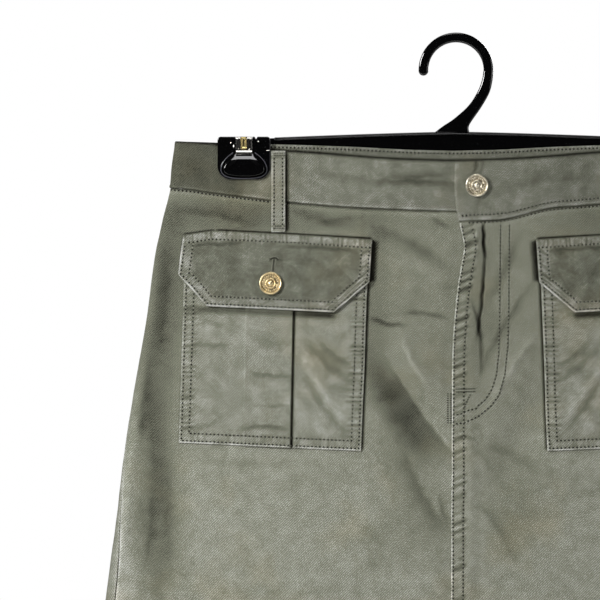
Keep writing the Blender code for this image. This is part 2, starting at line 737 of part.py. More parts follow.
def make_clip(hand, side_name):
    """A front jaw with its raised pad, and the spring that presses it on."""
    back_of_jaw = clip_front() - SEAM_GAP
    front_of_jaw = back_of_jaw - JAW_DEPTH
    height = CLIP_FOOT - CLIP_TOP
    shoulder = 0.0025
    foot = 0.0095
    left, right = hand * CLIP_X - JAW_WIDTH / 2, hand * CLIP_X + JAW_WIDTH / 2
    outline = arc(right - shoulder, -CLIP_TOP - shoulder, shoulder, 0.0, 0.25, 4)
    outline += arc(left + shoulder, -CLIP_TOP - shoulder, shoulder, 0.25, 0.5, 4)
    outline += arc(left + foot, -CLIP_TOP - height + foot, foot, 0.5, 0.75, 6)
    outline += arc(right - foot, -CLIP_TOP - height + foot, foot, 0.75, 1.0, 6)
    jaw = slab("clip_jaw_" + side_name, outline, front_of_jaw, back_of_jaw, "Y", BLACK_PLASTIC)
    pad_outline = oval(hand * CLIP_X, -PAD_DROP, *PAD_SIZE, 2.4, 28)
    name = "pad_" + side_name
    join(jaw, [slab(name, pad_outline, front_of_jaw - PAD_RISE, back_of_jaw - 0.001, "Y")])

    # The strip's outline from the side, (y, z): down the front leg's outside, up its inside,
    # over the plates, down the rear leg and back over the top
    near = front_of_jaw - SEAM_GAP
    far = -HANGER_DEPTH / 2 + PLATE_DEPTH + SEAM_GAP
    crown = -CLIP_TOP + SEAM_GAP
    bend = SPRING_BEND
    inside = [(near, crown - SPRING_LEGS[0])]
    inside += arc(near + bend, crown - bend, bend, 0.5, 0.25, 4)
    inside += arc(far - bend, crown - bend, bend, 0.25, 0.0, 4)
    inside += [(far, crown - SPRING_LEGS[1])]
    outer = bend + SPRING_WALL
    outside = [(far + SPRING_WALL, crown - SPRING_LEGS[1])]
    outside += arc(far - bend, crown - bend, outer, 0.0, 0.25, 4)
    outside += arc(near + bend, crown - bend, outer, 0.25, 0.5, 4)
    outside += [(near - SPRING_WALL, crown - SPRING_LEGS[0])]
    middle_x, half = hand * CLIP_X, SPRING_WIDTH / 2
    name = "clip_spring_" + side_name
    slab(name, inside + outside, middle_x - half, middle_x + half, "X", STEEL)


# ---- Assembly ----


def clear_scene():
    for item in list(bpy.data.objects):
        bpy.data.objects.remove(item)
    for name in ("cargo_skirt", "joined_shapes"):
        if name not in bpy.data.collections:
            bpy.context.scene.collection.children.link(bpy.data.collections.new(name))
    bpy.data.collections["joined_shapes"].hide_render = True


def make_skirt():
    make_front(RIGHT, "front_right")
    make_front(LEFT, "front_left")
    make_back()
    make_band_front(RIGHT, "waistband_front_right")
    make_band_front(LEFT, "waistband_front_left")
    make_band_back()
    for hand, name in ((RIGHT, "right"), (LEFT, "left")):
        front_top = edge(FRONT_LOOP_X, "front_top")
        back_top = edge(BACK_LOOP_X, "back_top") + BACK_LOOP_DROP
        make_loop("belt_loop_front_" + name, FRONT, hand * FRONT_LOOP_X, front_top)
        make_loop("belt_loop_back_" + name, BACK, hand * BACK_LOOP_X, back_top)
        make_pocket(hand, "pocket_" + name)
        make_flap(hand, "flap_" + name)
        side, drop = POCKET_BUTTON
        out = flap_height(drop) + FLAP_WALL + SEAM_GAP
        make_button("pocket_button_" + name, GOLD_BRASS, hand * side, drop, out)
    centre_top = edge(0.0, "back_top") + BACK_LOOP_DROP
    make_loop("belt_loop_back_centre", BACK, 0.0, centre_top)
    side, drop = WAIST_BUTTON
    out = band_lap_lift(LEFT)(side, drop) + BAND_WALL / 2 + SEAM_GAP
    make_button("waist_button", PALE_BRASS, side, drop, out)


def main():
    clear_scene()
    make_skirt()
    make_hanger()
    make_clip(RIGHT, "right")
    make_clip(LEFT, "left")


main()
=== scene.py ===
"""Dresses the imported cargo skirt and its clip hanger: cloth walls with folds, seams and
stitching, tack buttons, clips and hanger, then the stage. Metres, in the CAD's own frame:
the front faces -Y, the wearer's left is +X, and a "drop" is a distance below the origin."""

from collections import namedtuple
from math import inf, pi, tau

import bpy
import numpy as np
from bpy.props import FloatProperty, FloatVectorProperty, IntProperty, PointerProperty
from bpy.types import Operator, Panel, PropertyGroup
from mathutils import Matrix, Vector


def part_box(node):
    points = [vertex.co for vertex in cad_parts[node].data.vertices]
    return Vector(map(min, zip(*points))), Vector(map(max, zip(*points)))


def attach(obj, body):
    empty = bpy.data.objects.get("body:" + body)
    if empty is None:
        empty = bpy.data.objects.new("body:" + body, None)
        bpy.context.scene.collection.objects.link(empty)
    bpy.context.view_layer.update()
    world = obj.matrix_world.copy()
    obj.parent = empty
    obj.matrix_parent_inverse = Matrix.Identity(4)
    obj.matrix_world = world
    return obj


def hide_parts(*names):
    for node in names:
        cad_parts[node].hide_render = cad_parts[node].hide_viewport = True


bl_info = {
    "name": "Cargo utility skirt",
    "version": (1, 0, 0),
    "blender": (4, 5, 0),
    "location": "3D View > Sidebar > Skirt",
    "description": "Makes a hung cargo skirt with its stitching, buttons and clip hanger",
    "category": "Object",
}

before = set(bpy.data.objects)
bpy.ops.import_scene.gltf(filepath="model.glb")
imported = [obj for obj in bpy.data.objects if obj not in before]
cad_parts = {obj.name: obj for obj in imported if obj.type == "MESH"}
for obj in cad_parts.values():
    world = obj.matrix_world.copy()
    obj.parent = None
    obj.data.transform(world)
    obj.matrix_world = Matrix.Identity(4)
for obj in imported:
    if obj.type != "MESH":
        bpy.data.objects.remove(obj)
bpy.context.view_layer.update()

FRONT, BACK = -1, 1
RIGHT, LEFT = -1, 1
SIDES = ((RIGHT, "right"), (LEFT, "left"))

Point = namedtuple("Point", "across height")


def from_mm(kind, *rows):
    """A table's rows from rows in millimetres. A face and a tone aren't lengths."""
    scales = [1 if name in ("face", "tone") else 1000 for name in kind._fields]
    return tuple(kind(*(value / scale for value, scale in zip(row, scales))) for row in rows)


# Cloth walls, the gap at a seam, and how far the layers stand one over the other
PANEL_WALL = 0.0015
BAND_WALL = 0.0024
POCKET_WALL = 0.0012
PLEAT_RISE = 0.0012
FLAP_WALL = 0.002
LOOP_WALL = 0.0016
SEAM_GAP = 0.0003
ON_PANEL = PANEL_WALL / 2 + SEAM_GAP

# How the skirt hangs between the clips, as in the CAD
CLIP_X = 0.1531
SKIRT_X = -0.0018
HANGER_DEPTH = 0.006
NIP = (BAND_WALL + SEAM_GAP) / 2
MID_Y = -HANGER_DEPTH / 2 - SEAM_GAP - BAND_WALL / 2 - NIP
NIP_HALF_WIDTH = 0.021
NIP_FADE = {FRONT: (0.084, 0.028), BACK: (inf, 0.022)}
NIP_DROPS = (0.1, 0.185)
LENS_POWER = 1.2

Level = namedtuple("Level", "drop half_width fold_radius front_depth back_depth seam_forward")
LEVELS = from_mm(
    Level,
    (60, 198.5, 3.5, 18, 2, 0), (72, 200, 3.5, 18, 2, 0), (90, 202.6, 3.6, 18.5, 2, 0),
    (107, 204.2, 3.8, 19, 2.2, 0), (129, 209.5, 4.4, 19.5, 5, 0), (157, 215.3, 5.2, 20, 9, 0),
    (201, 221.2, 6.2, 21.5, 13, 0), (258, 231.1, 7.4, 23, 15, 0), (301, 237.6, 8.2, 23.5, 16, 3),
    (345, 242.7, 8.8, 24, 17, 7), (380, 247.7, 9.2, 24.5, 17.5, 11), (450, 256.2, 9.8, 25, 18.5, 12),
    (545, 267.2, 10.2, 25.5, 19, 12),
)
DEPTH = {FRONT: "front_depth", BACK: "back_depth"}

Edge = namedtuple("Edge", "side front_top front_seam back_top back_seam hem")
EDGES = from_mm(
    Edge,
    (0, 86.2, 122.6, 78.5, 115, 532), (35, 85.2, 121.3, 77.6, 114.2, 531.8),
    (65, 83.4, 120, 76, 113, 531.2), (95, 80.8, 118, 74.8, 111.6, 530.4),
    (132, 78, 114.3, 73.7, 109.8, 529), (170, 73.8, 109.6, 72.6, 107.8, 527.2),
    (200, 71.7, 105.8, 71.7, 105.8, 525), (240, 71.7, 105.8, 71.7, 105.8, 521.5),
    (280, 71.7, 105.8, 71.7, 105.8, 520),
)
WIDEST = EDGES[-1].side
TOP = {FRONT: "front_top", BACK: "back_top"}
SEAM = {FRONT: "front_seam", BACK: "back_seam"}

LapEdge = namedtuple("LapEdge", "drop x")
LAP_EDGES = from_mm(
    LapEdge,
    (80, 1.2), (104, 0), (122, 1.6), (133, 4), (148, 6.8), (160, 5.1), (181, 1.8), (222, -1.4),
    (300, -1.8), (400, -2.5), (545, -3),
)
PANEL_LAP = 0.012
BAND_LAP = 0.03
LAP_RAMP = 0.01
LAP_RISE = 0.009
LAP_PLAY = 0.0001
LEFT_BAND_DROP = 0.0072
LEFT_BAND_DROP_X = (0.03, 0.075)

# The largest folds, as in the CAD
Fold = namedtuple("Fold", "face x drop end_x end_drop width height")
FOLDS = from_mm(
    Fold,
    (FRONT, -204, 150, -217, 262, 11, -3), (FRONT, -218, 285, -212, 385, 16, -4),
    (FRONT, -212, 385, -205, 560, 22, -4.5), (FRONT, -62, 220, -6, 300, 14, -4),
    (FRONT, -24, 310, -2, 356, 12, -3), (FRONT, -39, 205, -18, 252, 10, 2),
    (FRONT, -110, 390, -125, 570, 32, 4), (FRONT, 20, 400, 45, 570, 30, -4.5),
    (FRONT, 125, 380, 150, 570, 32, 5), (FRONT, 72, 235, 26, 330, 16, -3.5),
    (FRONT, 206, 160, 216, 290, 12, -3), (FRONT, 216, 300, 203, 500, 20, -4),
    (BACK, -150, 120, -118, 400, 22, 4.5), (BACK, 152, 120, 128, 430, 24, 5),
    (BACK, -50, 240, -85, 570, 30, -6), (BACK, 55, 260, 78, 570, 28, -5), (BACK, 4, 130, 14, 280, 22, -4),
    (BACK, -200, 300, -190, 570, 22, 4), (BACK, 190, 330, 205, 570, 20, 3.5),
)

# Finer creases, from (x, drop) to its end, bowed sideways by `bow` at the middle. A height
# under zero is a trough. `tone` darkens the cloth along it as painted shade, or under zero lightens
# it as a painted highlight, and spreads this on one side of it as far as `broad`, whose sign says which
# side.
Crease = namedtuple("Crease", "x drop end_x end_drop bow width height tone broad", defaults=(0.0,))
FRONT_CREASES = from_mm(
    Crease,
    # down the wearer's right side
    (-205, 150, -212, 224, 1, 4.6, -1.2, 0.3), (-219, 238, -224.5, 288, -1.2, 3.6, -1.1, 0.34),
    (-219, 250, -215, 340, 1.5, 3.6, -1.3, 0.44, 8), (-218, 330, -222, 376, 2, 3.4, -1.1, 0.34),
    (-206, 300, -206, 390, 0, 7, -1.2, 0.3), (-227, 262, -224, 282, 0, 4, -1, 0.3),
    (-212, 372, -206, 440, -2, 5.6, -1, 0.22), (-208, 440, -204, 530, 2, 7, -1, 0.16),
    (-234, 300, -240, 380, 1, 3.4, 0.6, -0.06),
    # under the waistband and over the flap
    (-200, 122, -148, 131, 2, 3, -0.9, 0.35), (-196, 138, -148, 133, -2, 1.8, -1.2, 0.6),
    (-118, 120, -72, 136, -1.5, 3.6, -1, 0.35), (-100, 131, -64, 127, 1, 2.2, -0.6, 0.28),
    (-58, 134, -8, 160, 2.2, 2.6, -1.2, 0.46, -8), (-16, 127, -4, 134, 0, 2.2, -0.8, 0.45),
    (-48, 146, -10, 172, 2, 6, 0.9, -0.16),
    # from the pocket to the lap
    (-60, 199, -35, 204, -1.5, 1.9, -1, 0.8), (-35, 196, -6, 200, 1.5, 1.8, -0.9, 0.6),
    (-46, 233, -3, 295, -1.8, 1.4, -1.3, 0.7, -21), (-56, 244, -18, 300, -1.5, 8.5, -0.9, 0.3),
    (-63, 222, -38, 260, -1.5, 8.5, -0.6, 0.22), (-38, 212, -21, 246, -2, 2, 1.1, -0.34),
    (-34, 300, -6, 350, -2, 2.8, -1.2, 0.4, -8), (-10, 326, -4, 350, -1, 2.6, -0.9, 0.35),
    (-62, 262, -38, 300, 2, 5, 0.9, -0.14),
    # the broad cloth under the pocket
    (-185, 302, -115, 306, -1.5, 3.5, -0.6, 0.12), (-128, 318, -70, 312, 2, 5, -0.6, 0.12),
    (-150, 400, -70, 440, 4, 12, -0.8, 0.06), (-90, 470, -30, 452, 3, 10, 0.8, 0),
    # right of the lap: the fly, and the deep fold beside it
    (20.8, 131, 22.2, 156, -0.6, 1.3, -2.2, 1.7), (22.2, 156, 17.2, 210, 0.8, 1.2, -1.8, 1.3),
    (17.2, 200, 19.6, 240, 0.8, 1.8, -1, 0.6), (15.5, 133, 15, 160, 0.6, 2.6, 1.2, -0.3),
    (13, 188, 19, 215, 0.6, 1.6, -0.8, 0.55), (2, 284, 16, 287, 1, 1.4, -0.7, 0.5),
    (24, 292, 60, 312, 3, 4, -0.9, 0.25), (48, 140, 24, 190, 2, 4, -1.1, 0.32),
    (56, 176, 20, 236, -2, 3, -1.1, 0.35), (59, 212, 28, 262, -3, 4, 1, -0.16),
    (16, 330, 44, 372, 2, 4, -1, 0.25), (70, 330, 160, 318, 3, 5, -0.6, 0.12),
    (90, 420, 170, 395, 3, 12, -0.8, 0.05), (148, 131, 198, 123, 2, 3, -1, 0.35),
    (206, 150, 214, 236, -1.2, 4, -1.4, 0.45), (219, 242, 215, 312, 1.2, 3.6, -1.4, 0.5),
    (216, 320, 222, 404, -1.6, 4.5, -1.3, 0.45),
)
BACK_CREASES = from_mm(
    Crease,
    (-190, 124, -128, 134, 2, 5, -0.9, 0.16), (-100, 128, -38, 146, -1.5, 6, -0.9, 0.14),
    (30, 138, 100, 126, 2, 5.5, -0.9, 0.16), (135, 133, 196, 124, -1.5, 4.8, -0.9, 0.18),
    (-208, 160, -215, 240, 1.2, 5, -1.2, 0.26), (-218, 260, -212, 350, -1.5, 4.8, -1.2, 0.28),
    (208, 156, 216, 250, -1, 5, -1.2, 0.26), (217, 290, 220, 390, 1.6, 5.2, -1.2, 0.28),
    (-90, 180, -42, 262, 3, 6, -1.1, 0.18), (-78, 200, -30, 270, 2, 4, 0.9, -0.12),
    (86, 196, 44, 290, -3, 6.2, -1.1, 0.18), (110, 240, 70, 320, -2, 4.5, -0.9, 0.14),
    (-150, 300, -98, 372, 4, 7, -1, 0.14), (140, 330, 182, 420, 3, 8, -1, 0.12),
    (-20, 330, 26, 420, -2, 6, -0.9, 0.12), (-140, 430, -80, 470, 3, 9, -0.8, 0.06),
)
BAND_CREASES = from_mm(
    Crease,
    (-56, 101, -1, 102.4, 0.8, 2.6, -1.2, 0.75), (-50, 97.2, -6, 96.6, -0.8, 1.8, -0.8, 0.5),
    (-100, 93, -56, 100, -1, 3.4, -0.6, 0.22), (-190, 88, -178, 102, 0, 6, -0.5, 0.1),
    (16, 86.2, 14, 94.5, 1, 1.5, -0.9, 0.8), (20.5, 87, 18, 94.5, 0.8, 1.3, -0.8, 0.6),
    (16.5, 114, 16, 123, 0.4, 1.8, -0.6, 0.3), (42, 104, 98, 99, 1, 3.4, -0.6, 0.22),
    (178, 86, 188, 100, 0.8, 6, -0.5, 0.1),
)
BACK_BAND_CREASES = from_mm(
    Crease,
    (-150, 90, -70, 96, 1, 4, -0.5, 0.14), (60, 98, 140, 90, -1, 4, -0.5, 0.14),
    (-30, 96, 30, 98, 0.8, 3.5, -0.4, 0.12),
)
CREASES_OF_BAND = {FRONT: BAND_CREASES, BACK: BACK_BAND_CREASES}

# Broad stretches of painted shade, darker than the cloth round them or, under zero, lighter as painted
# light
Patch = namedtuple("Patch", "face x drop radius_x radius_drop tone")
PAINTED_LIGHT_PATCHES = from_mm(
    Patch,
    (FRONT, -206, 168, 12, 50, 0.45), (FRONT, -214, 250, 13, 50, 0.4), (FRONT, -213, 345, 18, 48, 0.34),
    (FRONT, -238, 375, 10, 70, -0.17), (FRONT, -170, 125, 48, 12, 0.36), (FRONT, -90, 128, 50, 11, 0.26),
    (FRONT, -38, 290, 14, 24, 0.22), (FRONT, -30, 345, 28, 30, 0.14), (FRONT, -56, 190, 8, 60, 0.18),
    (FRONT, 18, 195, 14, 70, 0.06), (FRONT, 208, 190, 14, 60, 0.4), (FRONT, 212, 330, 18, 60, 0.34),
    (FRONT, 140, 126, 60, 12, 0.26), (FRONT, 40, 330, 20, 40, 0.2), (BACK, -206, 200, 14, 70, 0.36),
    (BACK, 208, 230, 15, 80, 0.36), (BACK, -80, 126, 70, 12, 0.24), (BACK, 110, 126, 50, 12, 0.22),
    (BACK, -56, 330, 24, 60, 0.14), (BACK, 90, 300, 20, 50, 0.16),
)
# Painted shade: above the first of these drops the cloth is darker, easing to none by the second, towards
# the hem
SHADE_EASE_DROPS = (0.2, 0.33)
# On the pockets and flaps, by the distance from the centre front
POCKET_CREASES = from_mm(
    Crease,
    (106, 218, 73, 246, 2, 3.6, 0, 0.45), (96, 216, 74, 234, 1.5, 2.4, -0.5, 0.45),
    (112, 223, 76, 276, 2, 3, 0.6, -0.24), (106, 242, 77, 283, 2, 2.2, -0.5, 0.36),
    (114, 260, 88, 284, 1, 6, 0.5, -0.12), (147, 238.5, 118, 241, 0.6, 1.7, -0.5, 0.45),
    (148, 262.5, 118, 262.5, 0.3, 1.2, -0.4, 0.3), (150, 278, 119, 279, -1.4, 1.8, -0.6, 0.62),
    (142, 215, 122, 220, 1, 6, 0.2, 0.24), (186, 217.5, 162, 218.5, 0.6, 2, -0.4, 0.42),
    (182, 203, 165, 205, -1, 2.2, -0.4, 0.34), (170, 225, 166, 275, 1.5, 6, 0.6, 0.1),
    (188, 280, 170, 274, 0.8, 2.2, -0.4, 0.26),
)
FLAP_CREASES = from_mm(
    Crease,
    (192, 146.5, 155, 146, 0.8, 1.5, -0.5, 0.6), (120, 149, 68, 151, -0.6, 1.6, -0.4, 0.5),
    (185, 154, 148, 176, 1.5, 5.5, 0.6, 0.1), (132, 152, 96, 179, 2, 5, -0.4, 0.14),
    (118, 150, 80, 172, 2, 4.5, 0.6, 0.06), (143, 176, 139, 183, 0.6, 1.8, -0.4, 0.35),
)

# The cargo pockets, by the distance from the centre: inner edge, pleat folds, outer edge
POCKET_TOP = (0.0618, 0.1146, 0.149, 0.1935)
POCKET_FOOT = (0.0668, 0.1174, 0.1516, 0.198)
POCKET_DROPS = (0.156, 0.1545)
POCKET_FOOT_DROPS = (0.295, 0.2892)
PLEAT_EDGE = 0.0006
PLEAT_GROOVE = 0.0008
FLAP_TOP = (0.1951, 0.0585)
FLAP_SLANT = 0.0022
FLAP_TOP_DROPS = (0.1387, 0.1363, 0.1424)
FLAP_CREST = 0.17
FLAP_SIDE_DROPS = (0.1682, 0.1738)
FLAP_MITRES = (0.145, 0.814)
FLAP_FOOT_DROPS = (0.1909, 0.1953)
FLAP_SEWN = 0.2

LOOP_WIDTH = 0.0104
LOOP_LENGTH = 0.0594
LOOP_BOW = {FRONT: 0.0006, BACK: 0.0}
FRONT_LOOP_X = 0.1264
BACK_LOOP_X = 0.105
BACK_LOOP_DROP = 0.001

# The shadow beside a front loop, on the waistband and the front
LOOP_EDGE = FRONT_LOOP_X - LOOP_WIDTH / 2
LOOP_SHADOW = ((LOOP_EDGE, 0.079), (LOOP_EDGE, 0.1378), 0.0034, 1.5)

# Topstitching: how far the rows lie from an edge
EDGE_ROW = 0.0019
SECOND_ROW = 0.0073
BORDER_ROWS = (EDGE_ROW, SECOND_ROW)
FLY_ROWS = (0.0014, 0.0086)
LOOP_ROW = 0.0021
HEM_ROW = 0.02
HEM_STITCH = 0.0028
TACK_PITCH = 0.0006
ROW_WIDTH = 0.0012
ROW_DEPTH = 0.00014
CRUMPLE = 0.00035
POCKET_PRESS = 0.006
FLAP_TOP_ROW = 0.0066
# The fly's curved rows, its diagonal and its bar tack, as (side, drop)
FLY_CURVES = (
    from_mm(
        Point, (-0.4, 268.1), (3.5, 268.8), (6.5, 267.2), (9.4, 265.8), (14.3, 264.6),
        (16.9, 262.2), (21.9, 258.2), (27.2, 250), (30.2, 240), (31.8, 225), (32.5, 200),
        (33.2, 133),
    ),
    from_mm(
        Point, (-0.7, 274), (2.5, 275.3), (6.1, 274.5), (9.4, 273.3), (13.7, 271.6), (17.9, 269.4),
        (20.9, 266.8), (26.2, 262.4), (32, 254.5), (36.2, 240), (38.3, 220), (39, 200),
        (39.6, 133),
    ),
)
FLY_DIAGONAL = ((0.012, 0.2528), (0.0094, 0.2582), (0.0072, 0.2632), (0.0065, 0.2665))
FLY_TACK = ((0.0006, 0.2513), (0.0146, 0.251))

WAIST_BUTTON = (0.0161, 0.104)
POCKET_BUTTON = (0.1313, 0.1752)
BUTTONHOLE_TOP = (0.129, 0.157)

# The hanger: its hook, its flanged bar and the plates behind the waistband
HOOK_BORE = 0.02
HOOK_WIDTH = 0.007
FLANGE_DEPTH = 0.0058
FLANGE_HEIGHT = 0.0024
WEB_DEPTH = 0.002
BAR_HEIGHT = 0.018
BAR_REACH = 0.131
BAR_CREST = 0.0646
BAR_ARCH = 0.0042
PLATE_DEPTH = 0.0022
NECK_RIGHT = from_mm(
    Point, (26.2, -28.5), (23.8, -37.2), (17.9, -47.6), (11.6, -56.6), (9.2, -61.2), (10, -66),
)
NECK_LEFT = from_mm(
    Point, (-16.5, -66), (-9.4, -60.6), (-1.4, -55.2), (9, -45.8), (15.6, -35.7), (18.8, -27.2),
)

# The clips: the front jaw's plate, and half of its pad's outline and of the rim round that,
# as (distance from the clip's middle, drop)
CLIP_TOP = 0.0684
CLIP_FOOT = 0.0994
JAW_WIDTH = 0.0382
JAW_PLATE = 0.0016
PAD_DEPTH = 0.0036
PAD_OUTLINE = from_mm(
    Point, (6.6, 80.4), (7.6, 82.8), (9.9, 85), (12.4, 87.3), (14.3, 90), (14.8, 92.5),
    (13.5, 94.8), (9.5, 96.3), (4.5, 96.9), (0, 97),
)
RIM_OUTLINE = from_mm(
    Point, (7.8, 80), (10, 81.6), (12.3, 83.6), (15, 87), (16.4, 90.8), (16, 94.2), (13.8, 96.4),
    (10.5, 97.7), (5.5, 98.4), (0, 98.5),
)
THROAT_SLOPE = 0.58
THROAT_TOP = 0.0793
NOTCH_DEPTH = 0.0012
VEE = (0.0076, 0.0087, 0.0098)
SPRING_WIDTH = 0.0116
SPRING_WALL = 0.0008

# Grid steps where a wall's edge rolls over
ROLL_STEPS = (0.0, 0.00018, 0.00045, 0.0009, 0.0015)


# ---- Settings ----


def size(name, description, default, **more):
    return FloatProperty(name=name, description=description, default=default, unit="LENGTH", **more)


def colour(name, description, default):
    return FloatVectorProperty(
        name=name, description=description, default=default, subtype="COLOR", min=0, max=1
    )


def power(name, description, default):
    return FloatProperty(name=name, description=description, default=default, unit="POWER")


class SkirtCloth(PropertyGroup):
    panel_pitch: size("Panel grid", "Grid step of the fronts and the back", 0.002)
    pocket_pitch: size("Pocket grid", "Grid step of pockets, flaps and waistband", 0.00105)
    wale: size("Twill wale", "Distance from one diagonal rib of the twill to the next", 0.0013)
    cloth: colour("Cloth", "The twill's colour", (0.227, 0.235, 0.183))
    worn: colour("Worn edges", "The twill where edges have rubbed pale", (0.56, 0.56, 0.47))
    # Painted shade: the dark end towards which creases, seams and painted shadows darken the twill
    painted_shade_colour: colour("Creases", "The twill in the depth of its creases", (0.011, 0.01, 0.007))
    thread: colour("Thread", "Tonal topstitching thread", (0.27, 0.275, 0.215))
    # Painted shade: the colour of the dark lenses at the needle holes
    hole: colour("Needle holes", "The shade where a stitch dives", (0.006, 0.006, 0.004))
    stitch: size("Stitch", "Length of one topstitch", 0.0028)
    thread_radius: size("Thread radius", "Half the thickness of the thread", 0.00032)


class SkirtTrim(PropertyGroup):
    waist_brass: colour("Waist button", "Pale brass", (0.97, 0.9, 0.73))
    pocket_brass: colour("Pocket buttons", "Golden brass", (0.93, 0.76, 0.45))
    plastic: colour("Hanger", "Glossy black plastic", (0.001, 0.001, 0.0012))
    steel: colour("Spring", "Plated spring strip", (0.66, 0.64, 0.6))
    # Painted reflection: the spring rib's gold stands in for what the plated strip reflects
    gilt: colour("Spring rib", "The gilt rib along each spring", (0.72, 0.58, 0.26))
    sides: IntProperty(name="Round sides", description="Steps round a button", default=64, min=24)


class SkirtStage(PropertyGroup):
    distance: size("Camera distance", "From the camera to the front of the skirt", 5.0)
    centre_x: size("View centre X", "Middle of the view across", -0.1127)
    centre_z: size("View centre Z", "Middle of the view in height", -0.1862)
    width: size("View width", "Width of the view at the front of the skirt", 0.432)
    floor: size("Floor", "Height of the floor", -0.62)
    key: power("Key light", "Left softbox", 21)
    top: power("Top light", "Softbox overhead", 8.5)
    low: power("Low fill", "Low front softbox", 5.4)
    right: power("Right fill", "Right softbox", 3.6)
    back: power("Back light", "Behind the skirt", 26)
    air: FloatProperty(name="Ambient", description="Even light from all round", default=0.014)


GROUPS = {"skirt_cloth": SkirtCloth, "skirt_trim": SkirtTrim, "skirt_stage": SkirtStage}


# ---- Small sums ----


def smooth(share):
    """0 to 1, easing in and out."""
    share = np.clip(share, 0.0, 1.0)
    return share * share * (3 - 2 * share)


def mix(first, second, share):
    return first + (second - first) * share


def bell(distance, width):
    return np.exp(-((distance / width) ** 2))


def unit(vectors):
    return vectors / np.linalg.norm(vectors, axis=-1, keepdims=True)


def xyz(x, y, z):
    return np.stack(np.broadcast_arrays(x, y, z), -1)


def level(side, drop):
    """No rise anywhere."""
    return 0.0


def along_line(line, x, drop):
    """The share of a fold or crease passed at each point, how far aside of it the point
    lies, and its length."""
    along_x, along_drop = line.end_x - line.x, line.end_drop - line.drop
    length = np.hypot(along_x, along_drop)
    share = ((x - line.x) * along_x + (drop - line.drop) * along_drop) / length**2
    aside = ((x - line.x) * along_drop - (drop - line.drop) * along_x) / length
    return share, aside, length


def eased(start, end, slope_in, slope_out, share):
    """On a smooth curve between two values, which has these slopes at its ends."""
    rise = end - start
    bend = (slope_in - rise) * (1 - share) - (slope_out - rise) * share
    return start + rise * share + share * (1 - share) * bend


def read(table, at, column):
    """A named column of a table, read smoothly between the rows on either side of `at`."""
    keys = np.array([row[0] for row in table])
    values = np.array([getattr(row, column) for row in table])
    at = np.clip(at, keys[0], keys[-1])
    row = np.clip(np.searchsorted(keys, at, side="right") - 1, 0, len(keys) - 2)
    before, after = np.maximum(row - 1, 0), np.minimum(row + 2, len(keys) - 1)
    span = keys[row + 1] - keys[row]
    share = (at - keys[row]) / span
    slope_in = (values[row + 1] - values[before]) / (keys[row + 1] - keys[before]) * span
    slope_out = (values[after] - values[row]) / (keys[after] - keys[row]) * span
    return eased(values[row], values[row + 1], slope_in, slope_out, share)


# ---- The form of the hung skirt ----


def relief(face, x, drop):
    """How far the largest folds raise this point of a wall."""
    height = np.zeros(np.broadcast(x, drop).shape)
    for fold in FOLDS:
        if fold.face == face:
            share, aside, _ = along_line(fold, x, drop)
            height += fold.height * np.exp(-((aside / fold.width) ** 2) - (2 * share - 1) ** 4)
    return height


def held(face, x, drop):
    """How firmly the clips and the bar hold the walls together here, from 0 to 1."""
    inwards, outwards_fade = NIP_FADE[face]
    from_clip = np.abs(SKIRT_X + x) - CLIP_X
    fade = np.where(from_clip > 0, outwards_fade, inwards)
    across = smooth(1 - (np.abs(from_clip) - NIP_HALF_WIDTH) / fade)
    first, last = NIP_DROPS
    return across * smooth(1 - (drop - first) / (last - first))


def half_gap(face, x, drop):
    """How far this wall's middle stands from MID_Y."""
    radius, flat = read(LEVELS, drop, "fold_radius"), flat_half(drop)
    depth = read(LEVELS, drop, DEPTH[face])
    swell = (1 - np.minimum(1.0, np.abs(x) / flat) ** 2) ** LENS_POWER
    free = radius + (depth - radius) * swell + relief(face, x, drop)
    return mix(free, NIP, held(face, x, drop))


def middle(face, side, drop):
    """Points of the cloth's middle surface. `side` runs round the section from the centre
    of the face, and on past the side fold to the other face."""
    radius, flat = read(LEVELS, drop, "fold_radius"), flat_half(drop)
    quarter = flat + radius * pi / 2
    past = np.abs(side) > quarter
    reach = np.where(past, 2 * quarter - np.abs(side), np.abs(side))
    angle = np.maximum(0.0, reach - flat) / radius
    x = np.sign(side) * (np.minimum(reach, flat) + radius * np.sin(angle))
    out = face * np.where(past, -half_gap(-face, x, drop), half_gap(face, x, drop))
    return xyz(SKIRT_X + x, MID_Y + out * np.cos(angle), -drop)


def outwards(face, side, drop):
    """The unit normals of the middle surface, pointing out of the skirt."""
    step = 0.0004
    across = middle(face, side + step, drop) - middle(face, side - step, drop)
    down = middle(face, side, drop + step) - middle(face, side, drop - step)
    return unit(face * np.cross(across, down))


def skin(face, side, drop, out):
    """The points this far outwards from the middle surface."""
    return middle(face, side, drop) + outwards(face, side, drop) * np.asarray(out)[..., None]


def edge(side, column):
    return read(EDGES, np.abs(side), column)


def flat_half(drop):
    return read(LEVELS, drop, "half_width") - read(LEVELS, drop, "fold_radius")


def seam_side(face, drop):
    """From the centre of a face to its edge at the side seam."""
    quarter = flat_half(drop) + read(LEVELS, drop, "fold_radius") * pi / 2
    return quarter + face * read(LEVELS, drop, "seam_forward") - SEAM_GAP / 2


def front_seam(side, hand):
    """The drop of the waistband's lower edge on the front."""
    full, none = LEFT_BAND_DROP_X
    lower = LEFT_BAND_DROP * smooth(1 - (side - full) / (none - full)) if hand == LEFT else 0.0
    return edge(side, "front_seam") + lower


def lap_edge(drop):
    return read(LAP_EDGES, drop, "x")


# ---- Creases and puckers ----


